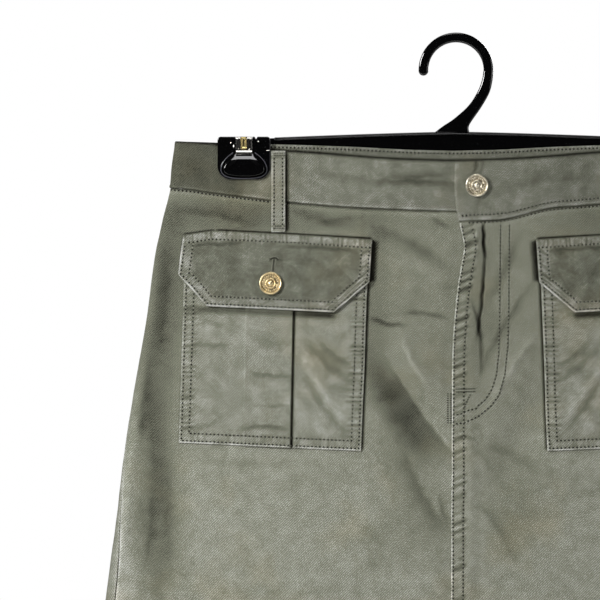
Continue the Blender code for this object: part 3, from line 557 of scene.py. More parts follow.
def crease_shapes(creases, x, drop):
    """Each crease with the distance from its line, its width, and its uneven strength along
    it. It wanders, and it is steeper on one of its sides."""
    for i, crease in enumerate(creases):
        share, aside, length = along_line(crease, x, drop)
        aside = aside - crease.bow * (1 - (2 * share - 1) ** 2)
        aside = aside + 0.3 * crease.width * uneven(share * length, 0.013, 1.7 * i)
        width = crease.width * np.where(aside * (-1) ** i > 0, 0.6, 1.15)
        strength = 0.85 + 0.15 * uneven(share * length, 0.023, 2.3 * i)
        yield crease, aside, width, strength * np.exp(-((2 * share - 1) ** 4))


def crease_height(creases, x, drop):
    shapes = crease_shapes(creases, x, drop)
    return sum(line.height * strength * bell(aside, width) for line, aside, width, strength in shapes)


# Painted shade along each crease, spread on one side as far as its `broad`; a tone under zero is a
# painted highlight
def crease_painted_shade(creases, x, drop):
    found = 0.0
    for crease, aside, width, strength in crease_shapes(creases, x, drop):
        width = np.where(aside * crease.broad > 0, abs(crease.broad), width)
        found = found + crease.tone * strength * bell(aside, width)
    return found


def uneven(along, pitch, seed):
    """A wave of uneven length and height, from -1 to 1."""
    turn = tau * along / pitch
    wander = 1.1 * np.sin(turn / 2.7 + 1.9 * seed) + 0.7 * np.sin(turn / 5.3 + 4.1 * seed)
    strength = 0.62 + 0.38 * np.sin(turn / 4.4 + 2.3 * seed)
    return np.sin(turn + wander + seed) * strength


def crumple(side, drop, seed):
    """Small soft dents all over, as in cloth that has been washed and folded: -1 to 1."""
    broad = uneven(0.83 * side + 0.56 * drop, 0.023, seed)
    broad = broad * uneven(0.9 * drop - 0.3 * side, 0.037, seed + 2)
    small = uneven(0.35 * side - 0.94 * drop, 0.015, seed + 1) * uneven(side, 0.029, seed + 3)
    return 0.6 * broad + 0.4 * small


def patch_painted_shade(face, side, drop):
    """How much the broad patches darken the cloth here as painted shade, or lighten it as painted light,
    with more painted shade towards the waist.
    """
    found = np.zeros(np.broadcast(side, drop).shape)
    for patch in PAINTED_LIGHT_PATCHES:
        if patch.face == face:
            away = np.abs(side - patch.x) ** 3 / patch.radius_x**3
            found += patch.tone * np.exp(-away - np.abs(drop - patch.drop) ** 3 / patch.radius_drop**3)
    return found + 0.2 * (1 - smooth((drop - SHADE_EASE_DROPS[0]) / (SHADE_EASE_DROPS[1] - SHADE_EASE_DROPS[0])))


def between(at, first, last, ease):
    """1 between two distances and 0 outside them, easing over `ease`."""
    return smooth((at - first) / ease + 0.5) * smooth((last - at) / ease + 0.5)


def gather_painted_shade(ladder, dark, pale):
    """Painted shade in the dips of a ladder of gathers, and a painted highlight on its rises."""
    return dark * np.maximum(0.0, -ladder) - pale * np.maximum(0.0, ladder)


def fly_ladder(side, drop):
    """Where the cloth gathers across the lap, between its two rows of stitching: -1 to 1."""
    from_edge = side - lap_edge(drop)
    window = between(from_edge, FLY_ROWS[0] - 0.001, FLY_ROWS[1] + 0.002, 0.003)
    strength = 0.85 - 0.25 * smooth((drop - 0.21) / 0.05) + 0.25 * uneven(drop, 0.031, 1.2)
    return window * strength * uneven(drop + 0.4 * side, 0.0066, 0.4)


def at_rows(distance, rows=BORDER_ROWS):
    """How near a distance is to rows of stitching, as a bell round each."""
    return sum(bell(distance - row, ROW_WIDTH) for row in rows)


def fly_rows(side, drop):
    return at_rows(side - lap_edge(drop), FLY_ROWS)


def fly_puckers(side, drop):
    return 0.0005 * fly_ladder(side, drop) - ROW_DEPTH * fly_rows(side, drop)


# Painted shade in the fly's gathers and along its rows
def fly_painted_shade(side, drop):
    return gather_painted_shade(fly_ladder(side, drop), 0.95, 0.34) + 0.15 * fly_rows(side, drop)


def pocket_share(drop):
    """How far down the pocket this level is, going a little past both its ends."""
    share = (drop - POCKET_DROPS[1]) / (POCKET_FOOT_DROPS[1] - POCKET_DROPS[1])
    return np.clip(share, -0.3, 1.5)


def pocket_line(line, drop):
    return mix(POCKET_TOP[line], POCKET_FOOT[line], pocket_share(drop))


def pocket_row(side, drops):
    """A drop along the pocket's top or foot, level outside it."""
    inner, outer = POCKET_TOP[0], POCKET_TOP[-1]
    return mix(*drops, np.clip((np.abs(side) - inner) / (outer - inner), 0.0, 1.0))


def off_pocket(side, drop):
    """0 under the pocket, where the panel lies flat, and 1 away from it."""
    inside = smooth((drop - FLAP_TOP_DROPS[1]) / POCKET_PRESS + 0.8)
    for margin in pocket_margins(side, drop):
        inside = inside * smooth(margin / POCKET_PRESS + 0.8)
    return 1 - inside


def panel_detail(face, side, drop):
    """What all layers on this face share: the finer creases, and the gathers at the lap."""
    dents = CRUMPLE * crumple(side, drop, 1.0 if face == BACK else 4.0)
    if face == BACK:
        return crease_height(BACK_CREASES, side, drop) + dents
    seam_pull = -0.0005 * bell(drop - edge(side, "front_seam") - 0.001, 0.0022)
    creases = (crease_height(FRONT_CREASES, side, drop) + dents) * off_pocket(side, drop)
    return creases + fly_puckers(side, drop) + seam_pull


# ---- Layers: how far each wall's middle is lifted ----


Layer = namedtuple("Layer", "face wall lift")


def lap_lift(hand, wall, side, drop, lapped):
    """At the lap: how far the left layer rises, or the right one sinks under it."""
    shift = (wall + SEAM_GAP) / 2 + LAP_PLAY
    if hand == LEFT:
        return shift * smooth(lapped)
    return -shift * smooth((side - lap_edge(drop) + LAP_RAMP) / LAP_RISE)


def panel_layer(hand):
    def lift(side, drop):
        lapped = 1 - (side - lap_edge(drop) - PANEL_LAP) / LAP_RAMP
        return lap_lift(hand, PANEL_WALL, side, drop, lapped) + panel_detail(FRONT, side, drop)

    return Layer(FRONT, PANEL_WALL, lift)


BACK_LAYER = Layer(BACK, PANEL_WALL, lambda side, drop: panel_detail(BACK, side, drop))


def band_detail(face, side, drop):
    """The waistband's creases, and the bulge of its folded top edge."""
    height = crease_height(CREASES_OF_BAND[face], side, drop)
    height = height + 0.0002 * bell(drop - edge(side, TOP[face]) - 0.002, 0.002)
    return height + 0.0004 * bell(edge(side, SEAM[face]) - drop - 0.0012, 0.0012)


def band_painted_shade(face, side, drop, hand=RIGHT):
    """Painted shade: darker towards the side, at the seam and at the top edge, and paler just above the
    seam on the rolled edge.
    """
    seam = front_seam(side, hand) if face == FRONT else edge(side, "back_seam")
    rolled = 0.3 * bell(seam - drop, 0.0006) - 0.14 * bell(seam - drop - 0.0014, 0.0009)
    rolled = rolled + bell(drop - edge(side, TOP[face]), 0.0012) + 0.03 * uneven(side, 0.0085, 2.0)
    folds = crease_painted_shade(CREASES_OF_BAND[face], side, drop) + 0.2 * crumple(side, drop, 3.0)
    return folds + rolled + 0.07 + 0.51 * smooth((np.abs(side) - 0.14) / 0.02)


def band_layer(hand):
    def lift(side, drop):
        lapped = 1 - (side - BAND_LAP) / (2 * LAP_RAMP)
        return lap_lift(hand, BAND_WALL, side, drop, lapped) + band_detail(FRONT, side, drop)

    return Layer(FRONT, BAND_WALL, lift)


BACK_BAND_LAYER = Layer(BACK, BAND_WALL, lambda side, drop: band_detail(BACK, side, drop))


def loop_layer(face, centre, top):
    def lift(side, drop):
        share = (drop - top) / LOOP_LENGTH
        over_band = BAND_WALL / 2 + SEAM_GAP
        over_band = over_band + LOOP_BOW[face] * np.sin(pi * np.minimum(1.0, share / 0.8))
        height = mix(over_band, ON_PANEL, smooth((share - 0.72) / 0.2)) + LOOP_WALL / 2
        dip = bell(np.abs(side - centre) - LOOP_WIDTH / 2 + LOOP_ROW, ROW_WIDTH)
        ends = bell(share - 0.06, 0.03) + bell(share - 0.93, 0.03)
        return height - ROW_DEPTH * (dip + ends)

    return Layer(face, LOOP_WALL, lift)


def pocket_margins(side, drop):
    """The distances to the pocket's inner edge, outer edge and foot."""
    reach = np.abs(side)
    foot = pocket_row(side, POCKET_FOOT_DROPS)
    return reach - pocket_line(0, drop), pocket_line(3, drop) - reach, foot - drop


def pocket_lift(side, drop):
    dips = 0.00042 * pocket_ladder(side, drop) - ROW_DEPTH * pocket_rows(side, drop)
    creases = crease_height(POCKET_CREASES, np.abs(side), drop)
    creases = creases + CRUMPLE * (0.3 + 0.6 * crumple(side, drop, 7.0))
    return ON_PANEL + POCKET_WALL / 2 + dips + creases


POCKET_LAYER = Layer(FRONT, POCKET_WALL, pocket_lift)


def pocket_rows(side, drop):
    """How near a point is to the pocket's rows of stitching, as a bell round each."""
    inner, outer, foot = pocket_margins(side, drop)
    along_sides = smooth((foot - 0.004) / 0.003)
    along_foot = smooth(np.minimum(inner, outer) / 0.003)
    return along_sides * (at_rows(inner) + at_rows(outer)) + along_foot * at_rows(foot)


def pocket_ladder(side, drop):
    """Where the pocket's hems gather between their rows of stitching: -1 to 1."""
    inner, outer, foot = pocket_margins(side, drop)
    reach = SECOND_ROW + 0.0035
    at_outer = between(outer, 0.0005, reach, 0.003) * uneven(drop + 0.1 * side, 0.0046, 1.3)
    at_inner = between(inner, 0.0005, reach, 0.003) * uneven(drop, 0.0041, 2.6)
    at_foot = between(foot, 0.0005, SECOND_ROW + 0.001, 0.003) * uneven(side, 0.0052, 0.8)
    return (at_outer + 0.9 * at_inner) * smooth((foot - 0.004) / 0.004) + 0.45 * at_foot


def pleat_rise(side, drop):
    """How much the pocket's outer face rises over the box pleat, with the slot beside the
    fold that faces away from the light."""
    reach = np.abs(side)
    fold_in, fold_out = pocket_line(1, drop), pocket_line(2, drop)
    over = smooth((reach - fold_in) / PLEAT_EDGE) * smooth((fold_out - reach) / PLEAT_EDGE)
    slot_in = bell(reach - fold_in + PLEAT_GROOVE, 0.0007)
    return PLEAT_RISE * over - 0.0004 * slot_in


def flap_height(drop):
    """How far the flap's inner face stands off the panel's middle."""
    on_pocket = ON_PANEL + POCKET_WALL + PLEAT_RISE + SEAM_GAP
    top = min(FLAP_TOP_DROPS)
    share = (drop - top) / (min(POCKET_DROPS) - top)
    return mix(ON_PANEL, on_pocket, smooth((share - FLAP_SEWN) / (1 - FLAP_SEWN - 0.1)))


def flap_corners():
    """The flap's outline by its distance from the centre and its drop, from the top of its
    outer side round by the foot to the top of its inner side."""
    outer, inner = FLAP_TOP
    mitres = [mix(outer, inner, share) + FLAP_SLANT for share in FLAP_MITRES]
    return [
        (outer, FLAP_TOP_DROPS[0]),
        (outer + FLAP_SLANT, FLAP_SIDE_DROPS[0]),
        (mitres[0], FLAP_FOOT_DROPS[0]),
        (mitres[1], FLAP_FOOT_DROPS[1]),
        (inner + FLAP_SLANT, FLAP_SIDE_DROPS[1]),
        (inner, FLAP_TOP_DROPS[2]),
    ]


def line_distance(x, drop, start, end):
    """The distance from a line, positive on the side towards the flap's middle."""
    along = unit(np.subtract(end, start))
    return (x - start[0]) * -along[1] + (drop - start[1]) * along[0]


def flap_margin(side, drop):
    """The distance in from the flap's sides, mitres and foot."""
    corners = flap_corners()
    x = np.abs(side)
    found = [line_distance(x, drop, a, b) for a, b in zip(corners, corners[1:])]
    return np.minimum.reduce([np.abs(distance) for distance in found])


def flap_lift(side, drop):
    creases = crease_height(FLAP_CREASES, np.abs(side), drop)
    height = flap_height(drop) + FLAP_WALL / 2 - ROW_DEPTH * flap_rows(side, drop)
    creases = creases + CRUMPLE * (0.2 + 0.5 * crumple(side, drop, 9.0))
    return height + 0.00034 * flap_ladder(side, drop) + creases


FLAP_LAYER = Layer(FRONT, FLAP_WALL, flap_lift)


def flap_rows(side, drop):
    """How near a point is to the flap's rows of stitching, as a bell round each."""
    below_top = drop - flap_top(side)
    rows = at_rows(flap_margin(side, drop)) * smooth((below_top - FLAP_TOP_ROW + 0.001) / 0.002)
    return rows + 1.3 * bell(below_top - FLAP_TOP_ROW, ROW_WIDTH)


def flap_ladder(side, drop):
    """Where the flap gathers: along its top edge at each stitch, and inside its border."""
    below_top = drop - flap_top(side)
    at_top = between(below_top, 0.0006, FLAP_TOP_ROW - 0.0004, 0.0015)
    at_top = at_top * uneven(np.abs(side), 0.0031, 0.9)
    margin = flap_margin(side, drop)
    border = between(margin, 0.0003, SECOND_ROW + 0.001, 0.002)
    border = border * smooth((below_top - FLAP_TOP_ROW) / 0.002)
    inner_side = 0.35 + 0.65 * smooth((0.095 - np.abs(side)) / 0.02)
    return at_top + border * inner_side * uneven(np.abs(side) * 0.8 - drop, 0.0045, 3.1)


def flap_top(side):
    """The drop of the flap's top edge."""
    share = (FLAP_TOP[0] - np.abs(side)) / (FLAP_TOP[0] - FLAP_TOP[1])
    outer, crest, inner = FLAP_TOP_DROPS
    rising = mix(outer, crest, smooth(share / FLAP_CREST))
    falling = mix(crest, inner, (share - FLAP_CREST) / (1 - FLAP_CREST))
    return np.where(share < FLAP_CREST, rising, falling)


# ---- Meshes ----


def linked(name, data):
    """A new object in the scene."""
    made = bpy.data.objects.new(name, data)
    bpy.context.scene.collection.objects.link(made)
    return made


def ring_quads(rings, count):
    """The quads between closed rings of points, by ring and step."""
    index = np.arange(rings * count).reshape(rings, count)
    after = np.roll(index, -1, axis=1)
    return np.stack([index[:-1], after[:-1], after[1:], index[1:]], -1)


def add_mesh(name, points, faces, materials, marks=None):
    """A smooth mesh object from arrays. marks are its point attributes, by name."""
    mesh = bpy.data.meshes.new(name)
    faces = faces.tolist() if isinstance(faces, np.ndarray) else faces
    mesh.from_pydata(np.asarray(points).tolist(), [], faces)
    for key, values in (marks or {}).items():
        kind, field = ("FLOAT_VECTOR", "vector") if values.ndim == 2 else ("FLOAT", "value")
        mark = mesh.attributes.new(key, kind, "POINT")
        mark.data.foreach_set(field, values.astype(np.float32).ravel())
    mesh.shade_smooth()
    made = linked(name, mesh)
    for finish in materials:
        mesh.materials.append(finish)
    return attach(made, "root")


def spread(length, pitch, edges=ROLL_STEPS, stretches=()):
    """Shares of a length, close together at both its ends and a pitch apart between. Each
    stretch at the start has its own pitch, as (how far it reaches, pitch)."""
    start = edges[-1]
    parts = [edges[:-1]]
    for reach, step in (*stretches, (length - edges[-1], pitch)):
        count = max(2, round((reach - start) / step))
        parts.append(np.linspace(start, reach, count, endpoint=False))
        start = reach
    parts.append(length - np.array(edges[::-1]))
    return np.concatenate(parts) / length


def zoned(*zones):
    """Grid lines over three zones side by side, from 0 to 3."""
    return np.concatenate([zones[0][:-1], 1 + zones[1][:-1], 2 + zones[2]])


def edge_distance(points):
    """The distance of each grid point from the grid's nearest edge."""
    found = []
    for axis in (0, 1):
        steps = np.linalg.norm(np.diff(points, axis=axis), axis=-1)
        run = np.insert(np.cumsum(steps, axis=axis), 0, 0.0, axis=axis)
        whole = run[-1:] if axis == 0 else run[:, -1:]
        found += [run, whole - run]
    return np.minimum.reduce(found)


def grid_faces(rows, columns):
    """A closed shell's quads: the outer grid, the inner one, and the rim between."""
    index = np.arange(rows * columns).reshape(rows, columns)
    outer = ring_quads(rows, columns)[:, :-1].reshape(-1, 4)
    loop = np.concatenate([index[0, :-1], index[:-1, -1], index[-1, :0:-1], index[:0:-1, 0]])
    after = np.roll(loop, -1)
    far = rows * columns
    rim = np.stack([after, loop, loop + far, after + far], -1)
    return np.concatenate([outer, outer[:, ::-1] + far, rim])


def cloth(name, layer, columns, rows, place, finish, tone, raised=level, within=None, wear=0.2):
    """A rolled-edge wall on a grid. place(u, v) gives (side, drop), raised(side, drop) is
    extra height of the outer face, and tone(side, drop) is painted shade that darkens the cloth (under
    zero, painted light), as within(side, drop) is on its inner face; both go in the "crease" mark.
    `wear`, a number or such a function, rubs its edges pale."""
    u, v = np.meshgrid(columns, rows)
    side, drop = place(u, v)
    base = middle(layer.face, side, drop)
    out = outwards(layer.face, side, drop)
    lift = layer.lift(side, drop)
    from_edge = edge_distance(base + out * lift[..., None])
    roll = layer.wall * 0.5
    round_off = np.sqrt(np.clip(1 - (1 - np.minimum(from_edge / roll, 1.0)) ** 2, 0.03, 1.0))
    half = layer.wall / 2 * round_off
    outer = base + out * (lift + half + raised(side, drop))[..., None]
    inner = base + out * (lift - half)[..., None]
    points = np.concatenate([outer.reshape(-1, 3), inner.reshape(-1, 3)])
    faces = grid_faces(*u.shape)
    halfway = faces[len(columns) * (len(rows) // 2)]
    first, second, _, last = points[halfway]
    if np.cross(second - first, last - first) @ out.reshape(-1, 3)[halfway[0]] < 0:
        faces = faces[:, ::-1]
    shades = [tone(side, drop), (within or tone)(side, drop)]
    rub = (wear(side, drop) if callable(wear) else wear) * bell(from_edge - 0.0006, 0.0009)
    marks = {
        "weave": np.tile(xyz(side, drop, 0.0).reshape(-1, 3), (2, 1)),
        "wear": np.tile(rub.ravel(), 2),
        "crease": np.ravel(shades),
    }
    made = add_mesh(name + "_twill", points, faces, [finish], marks)
    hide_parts(name)
    return made


# ---- Stitches ----


def path_points(corners, pitch):
    """Points a pitch apart along straight runs, with the direction at each."""
    corners = np.array(corners, float)
    runs = np.linalg.norm(np.diff(corners, axis=0), axis=1)
    ends = np.concatenate([[0.0], np.cumsum(runs)])
    count = max(1, int(ends[-1] / pitch))
    at = (np.arange(count) + 0.5) * (ends[-1] / count)
    points = np.stack([np.interp(at, ends, corners[:, i]) for i in (0, 1)], -1)
    leg = np.clip(np.searchsorted(ends, at, side="right") - 1, 0, len(runs) - 1)
    along = np.diff(corners, axis=0)[leg] / runs[leg][:, None]
    return points, along


class Thread:
    """Collects rows of stitches on a piece's outer or inner face, then makes one mesh."""

    RINGS = ((-0.5, -0.9, 0.55), (-0.3, 0.1, 1.0), (0.3, 0.1, 1.0), (0.5, -0.9, 0.55))
    SIDES = 6
    PROUD = 0.00018
    FLATNESS = 0.55

    def __init__(self, settings, layer=None):
        self.settings, self.layer = settings, layer
        self.points, self.faces, self.slots, self.count = [], [], [], 0

    def add(self, points, faces, slot):
        self.points.append(points.reshape(-1, 3))
        self.faces += (faces + self.count).tolist()
        self.slots += [slot] * len(faces)
        self.count += self.points[-1].shape[0]

    def place(self, at, out_side, rise):
        """The point and normal of the layer's face at (side, drop) pairs."""
        layer, side, drop = self.layer, at[..., 0], at[..., 1]
        normal = outwards(layer.face, side, drop) * out_side
        lift = layer.lift(side, drop) + out_side * (layer.wall / 2 + self.PROUD) + rise(side, drop)
        return skin(layer.face, side, drop, lift), normal

    def row(self, corners, length=None, out_side=1, rise=level, width=1.0, holes=True):
        """A row of stitches through (side, drop) corners."""
        pitch = length or self.settings.stitch
        centres, along = path_points(corners, pitch)
        radius = self.settings.thread_radius * width
        rings = []
        for share, height, girth in self.RINGS:
            at = centres + along * share * (pitch * 0.56)
            rings.append((*self.place(at, out_side, rise), height, girth))
        run = unit(rings[-1][0] - rings[0][0])
        stitches = []
        for point, normal, height, girth in rings:
            centre = point + normal * radius * height
            ring = self.oval(np.cross(run, normal), normal * self.FLATNESS)
            stitches.append(centre[:, None] + ring * radius * girth)
        points = np.stack(stitches, 1)
        self.add(points, self.tube_faces(len(centres)), 0)
        if holes:
            self.holes(centres, along, pitch, out_side, rise)

    def holes_along(self, corners, pitch):
        """Needle holes alone, dark lenses of painted shade so close that they make a dark line or slit.
        """
        centres, along = path_points(corners, pitch)
        self.holes(centres, along, pitch, 1, level)

    def oval(self, long_way, short_way):
        """The points round an oval at each place, from its two half axes there."""
        angles = np.arange(self.SIDES)[:, None] * tau / self.SIDES
        return long_way[:, None] * np.cos(angles) + short_way[:, None] * np.sin(angles)

    def tube_faces(self, count):
        quads = ring_quads(len(self.RINGS), self.SIDES).reshape(-1, 4)
        starts = np.arange(count) * len(self.RINGS) * self.SIDES
        return (quads + starts[:, None, None]).reshape(-1, 4)

    def holes(self, centres, along, pitch, out_side, rise):
        """A dark lens of painted shade where each stitch dives into the cloth."""
        at = centres + along * pitch / 2
        point, normal = self.place(at, out_side, rise)
        ahead, _ = self.place(at + along * 0.0002, out_side, rise)
        run = unit(ahead - point)
        half_long, half_wide = pitch * 0.3, self.settings.thread_radius * 2.0
        ring = self.oval(run * half_long, np.cross(run, normal) * half_wide)
        self.add(point[:, None] + ring, np.arange(len(at) * self.SIDES).reshape(-1, self.SIDES), 1)

    def finish(self, name, materials):
        made = add_mesh(name, np.concatenate(self.points), self.faces, materials)
        made.data.polygons.foreach_set("material_index", np.array(self.slots, np.int32))
        return made


def inset(corners, distance):
    """An open outline moved inwards, with its corners mitred."""
    corners = np.array(corners, float)
    along = unit(np.diff(corners, axis=0))
    inwards = np.stack([-along[:, 1], along[:, 0]], -1)
    centre = corners.mean(axis=0)
    if inwards[len(along) // 2] @ (centre - corners[len(along) // 2]) < 0:
        inwards = -inwards
    moved = [corners[0] + inwards[0] * distance]
    for i in range(1, len(along)):
        bisector = inwards[i - 1] + inwards[i]
        moved.append(corners[i] + bisector * distance / (bisector @ inwards[i]))
    moved.append(corners[-1] + inwards[-1] * distance)
    return moved


# ---- Materials ----


class Value:
    """A socket of a node tree. Arithmetic on it adds Math nodes."""

    def __init__(self, shader, socket):
        self.shader, self.socket = shader, socket

    def math(self, operation, *values):
        return self.shader.node("ShaderNodeMath", dict(enumerate(values)), operation=operation)

    def __add__(self, other):
        return self.math("ADD", self, other)

    def __sub__(self, other):
        return self.math("SUBTRACT", self, other)

    def __rsub__(self, other):
        return self.math("SUBTRACT", other, self)

    def __mul__(self, other):
        return self.math("MULTIPLY", self, other)

    __radd__, __rmul__ = __add__, __mul__

    def sine(self):
        return self.math("SINE", self)

    def absolute(self):
        return self.math("ABSOLUTE", self)

    def clamp(self):
        return self.math("MINIMUM", self.math("MAXIMUM", self, 0.0), 1.0)

    def tinted(self, colour):
        """A colour multiplied by another."""
        values = {0: 1.0, 6: self, 7: colour}
        settings = {"data_type": "RGBA", "blend_type": "MULTIPLY"}
        return self.shader.node("ShaderNodeMix", values, output=2, **settings)


class Shader:
    """A material under construction."""

    def __init__(self, name):
        self.material = bpy.data.materials.new(name)
        self.material.use_nodes = True
        self.tree = self.material.node_tree
        self.surface = self.tree.nodes["Principled BSDF"]

    def node(self, kind, values=None, output=0, stops=(), **settings):
        """Adds a node of any type: its settings first, with a ramp's stops, then its sockets'
        values or links."""
        made = self.tree.nodes.new(kind)
        for name, value in settings.items():
            setattr(made, name, value)
        for i, (place, stop) in enumerate(stops):
            elements = made.color_ramp.elements
            element = elements[i] if i < 1 else elements.new(place)
            element.position, element.color = place, (*stop, 1.0)
        for key, value in (values or {}).items():
            self.feed(made.inputs[key], value)
        return Value(self, made.outputs[output])

    def feed(self, socket, value):
        if isinstance(value, Value):
            self.tree.links.new(value.socket, socket)
        elif isinstance(value, (int, float)):
            socket.default_value = value
        else:
            socket.default_value = (*value, 1.0) if len(socket.default_value) == 4 else tuple(value)

    def blend(self, share, first, second):
        """A mix of two colours."""
        values = {0: share, 6: first, 7: second}
        return self.node("ShaderNodeMix", values, output=2, data_type="RGBA")

    def noise(self, vector, scale, detail=2.0):
        values = {"Vector": vector, "Scale": scale, "Detail": detail}
        return self.node("ShaderNodeTexNoise", values)

    def beside(self, side, drop, start, end, width):
        """Beside a line, on its centre side where it runs down: 1 at the line, falling to 0 at
        this width, and fading out at both the line's ends."""
        length = float(np.hypot(end[0] - start[0], end[1] - start[1]))
        along = [(b - a) / length for a, b in zip(start, end)]
        run = side * along[0] + drop * along[1] - (start[0] * along[0] + start[1] * along[1])
        away = drop * along[0] - side * along[1] - (start[1] * along[0] - start[0] * along[1])
        ends = (run * 400).clamp() * ((length - run) * 400).clamp()
        return (1 - away * (1 / width)).clamp() * (away * 4000 + 1).clamp() * ends

    def wrinkles(self, vector, scale, width):
        """Thin creases that wander and come and go: 1 in their depth."""
        away = (self.noise(vector, scale, 3.0) - 0.5).absolute()
        shown = ((self.noise(vector, scale * 0.8, 1.0) - 0.5) * 8.0).clamp()
        return (1 - away * (1 / width)).clamp() * shown

    def place(self):
        return self.node("ShaderNodeTexCoord", output="Object")

    def mark(self, name, output):
        return self.node("ShaderNodeAttribute", output=output, attribute_name=name)

    def bump(self, height, distance, strength):
        values = {"Height": height, "Distance": distance, "Strength": strength}
        return self.node("ShaderNodeBump", values)

    def put(self, **sockets):
        for name, value in sockets.items():
            self.feed(self.surface.inputs[name.replace("_", " ")], value)
        return self.material


def made_once(name, make, *values):
    return bpy.data.materials.get(name) or make(name, *values)


def twill(name, settings, tint, shadows=(), lumps=0.1):
    """Garment-washed twill: diagonal wales, slubs, mottling, worn edges, and painted shade in
    its creases. Painted shadows darken it beside what is sewn on top, along `shadows`; `tint`
    darkens each piece's copy of the same cloth as painted shade; and `lumps` is how much the dye
    varies from slub to slub."""
    shader = Shader(name)
    weave = shader.mark("weave", "Vector")
    side, drop = (shader.node("ShaderNodeSeparateXYZ", {0: weave}, output=i) for i in (0, 1))
    slub = shader.noise(weave, 420.0)
    wale = ((side + drop) * (tau * 0.7071 / settings.wale) + slub * 3.5).sine()
    mottle = shader.noise(weave, 24.0, 4.0)
    patch = shader.noise(weave, 110.0, 3.0)
    grain = shader.noise(weave, 1400.0, 2.0)
    wear = shader.mark("wear", "Fac") * ((grain + patch) * 1.3 - 0.6).clamp()
    # Painted shade from the crease mark, and painted shadows beside what is sewn on
    crease = shader.mark("crease", "Fac") * (0.7 + patch * 0.6)
    for start, end, width, strength in shadows:
        crease = crease + shader.beside(side.absolute(), drop, start, end, width) * strength
    tone = 0.5 + wale * 0.105 + (grain - 0.5) * 0.7 + (patch - 0.5) * (0.08 + lumps)
    tone = tone + (slub - 0.5) * lumps
    # Thin wrinkles for the bump, with a little painted shade in their depth
    wrinkle = shader.wrinkles(weave, 34.0, 0.05) + shader.wrinkles(weave, 71.0, 0.06) * 0.5
    tone = tone + (mottle - 0.5) * 0.07 + wear * 0.46 - crease * 0.4 - wrinkle * 0.05
    stops = [(0.0, settings.painted_shade_colour), (0.5, settings.cloth), (1.0, settings.worn)]
    shade = shader.node("ShaderNodeValToRGB", {0: tone}, stops=stops)
    warm = ((shader.noise(weave, 16.0, 3.0) - 0.52) * 5.0).clamp()
    shade = shader.blend(warm, shade, shade.tinted((1.03, 0.97, 0.88)))
    # `tint` is painted shade: each piece's copy of the cloth is darkened by its own share
    shade = shade.tinted((tint, tint, tint * 0.97))
    height = wale * 0.5 + grain * 1.2 + patch * 2.5 - wrinkle * 1.0
    return shader.put(
        Base_Color=shade,
        Roughness=0.88,
        Specular_IOR_Level=0.1,
        Sheen_Weight=0.04,
        Sheen_Roughness=0.5,
        Normal=shader.bump(height, 0.00012, 0.7),
    )


def thread_finish(name, tint):
    """Cotton-wrapped thread, a little uneven in colour."""
    shader = Shader(name)
    fibre = shader.noise(shader.place(), 2600.0, 1.0)
    shade = shader.blend(fibre, np.array(tint) * 0.75, np.array(tint) * 1.3)
    return shader.put(Base_Color=shade, Roughness=0.8, Specular_IOR_Level=0.2)


def metal(name, tint, roughness):
    """Polished metal with faint handling marks."""
    shader = Shader(name)
    marks = shader.noise(shader.place(), 900.0, 3.0)
    shade = shader.blend(marks, np.array(tint) * 0.8, np.array(tint))
    return shader.put(Base_Color=shade, Metallic=1.0, Roughness=roughness * (0.7 + marks * 0.6))


def plastic(name, tint, roughness):
    """Glossy moulded plastic with a faint flow in its gloss and a few specks of dust."""
    shader = Shader(name)
    place = shader.place()
    flow = shader.noise(place, 60.0, 2.0)
    dust = ((shader.noise(place, 1300.0, 1.0) - 0.74) * 9.0).clamp()
    shade = shader.blend(dust * 0.25, tint, (0.25, 0.25, 0.26))
    wave = shader.bump(flow, 0.0002, 0.25)
    rough = roughness * (0.7 + flow * 0.6) + dust * 0.3
    return shader.put(Base_Color=shade, Roughness=rough, Coat_Weight=0.5, Normal=wave)


# ---- Pieces ----


class Maker:
    """What the pieces' operators share: their undo step and how they run."""

    bl_options = {"REGISTER", "UNDO"}

    def execute(self, context):
        self.make(context.scene.skirt_cloth, context.scene.skirt_trim)
        return {"FINISHED"}


def front_shadows():
    """Where the fronts lie in the shadow of the flaps, pockets and belt loops, as (start, end,
    width, strength) by the distance from the centre."""
    outer_top, outer_foot, *_, inner_foot, inner_top = flap_corners()
    crest = (mix(*FLAP_TOP, FLAP_CREST), FLAP_TOP_DROPS[1])
    foot = POCKET_FOOT_DROPS
    return (
        ((POCKET_TOP[0], 0.17), (POCKET_FOOT[0], foot[0]), 0.0024, 1.25),
        ((POCKET_FOOT[3], foot[1]), (POCKET_TOP[3], 0.168), 0.0014, 0.35),
        ((outer_top[0], outer_top[1] + 0.0006), crest, 0.0018, 1.6),
        (crest, inner_top, 0.0018, 1.6),
        (inner_top, inner_foot, 0.0054, 1.55),
        (outer_foot, outer_top, 0.0014, 0.55),
        LOOP_SHADOW,
    )


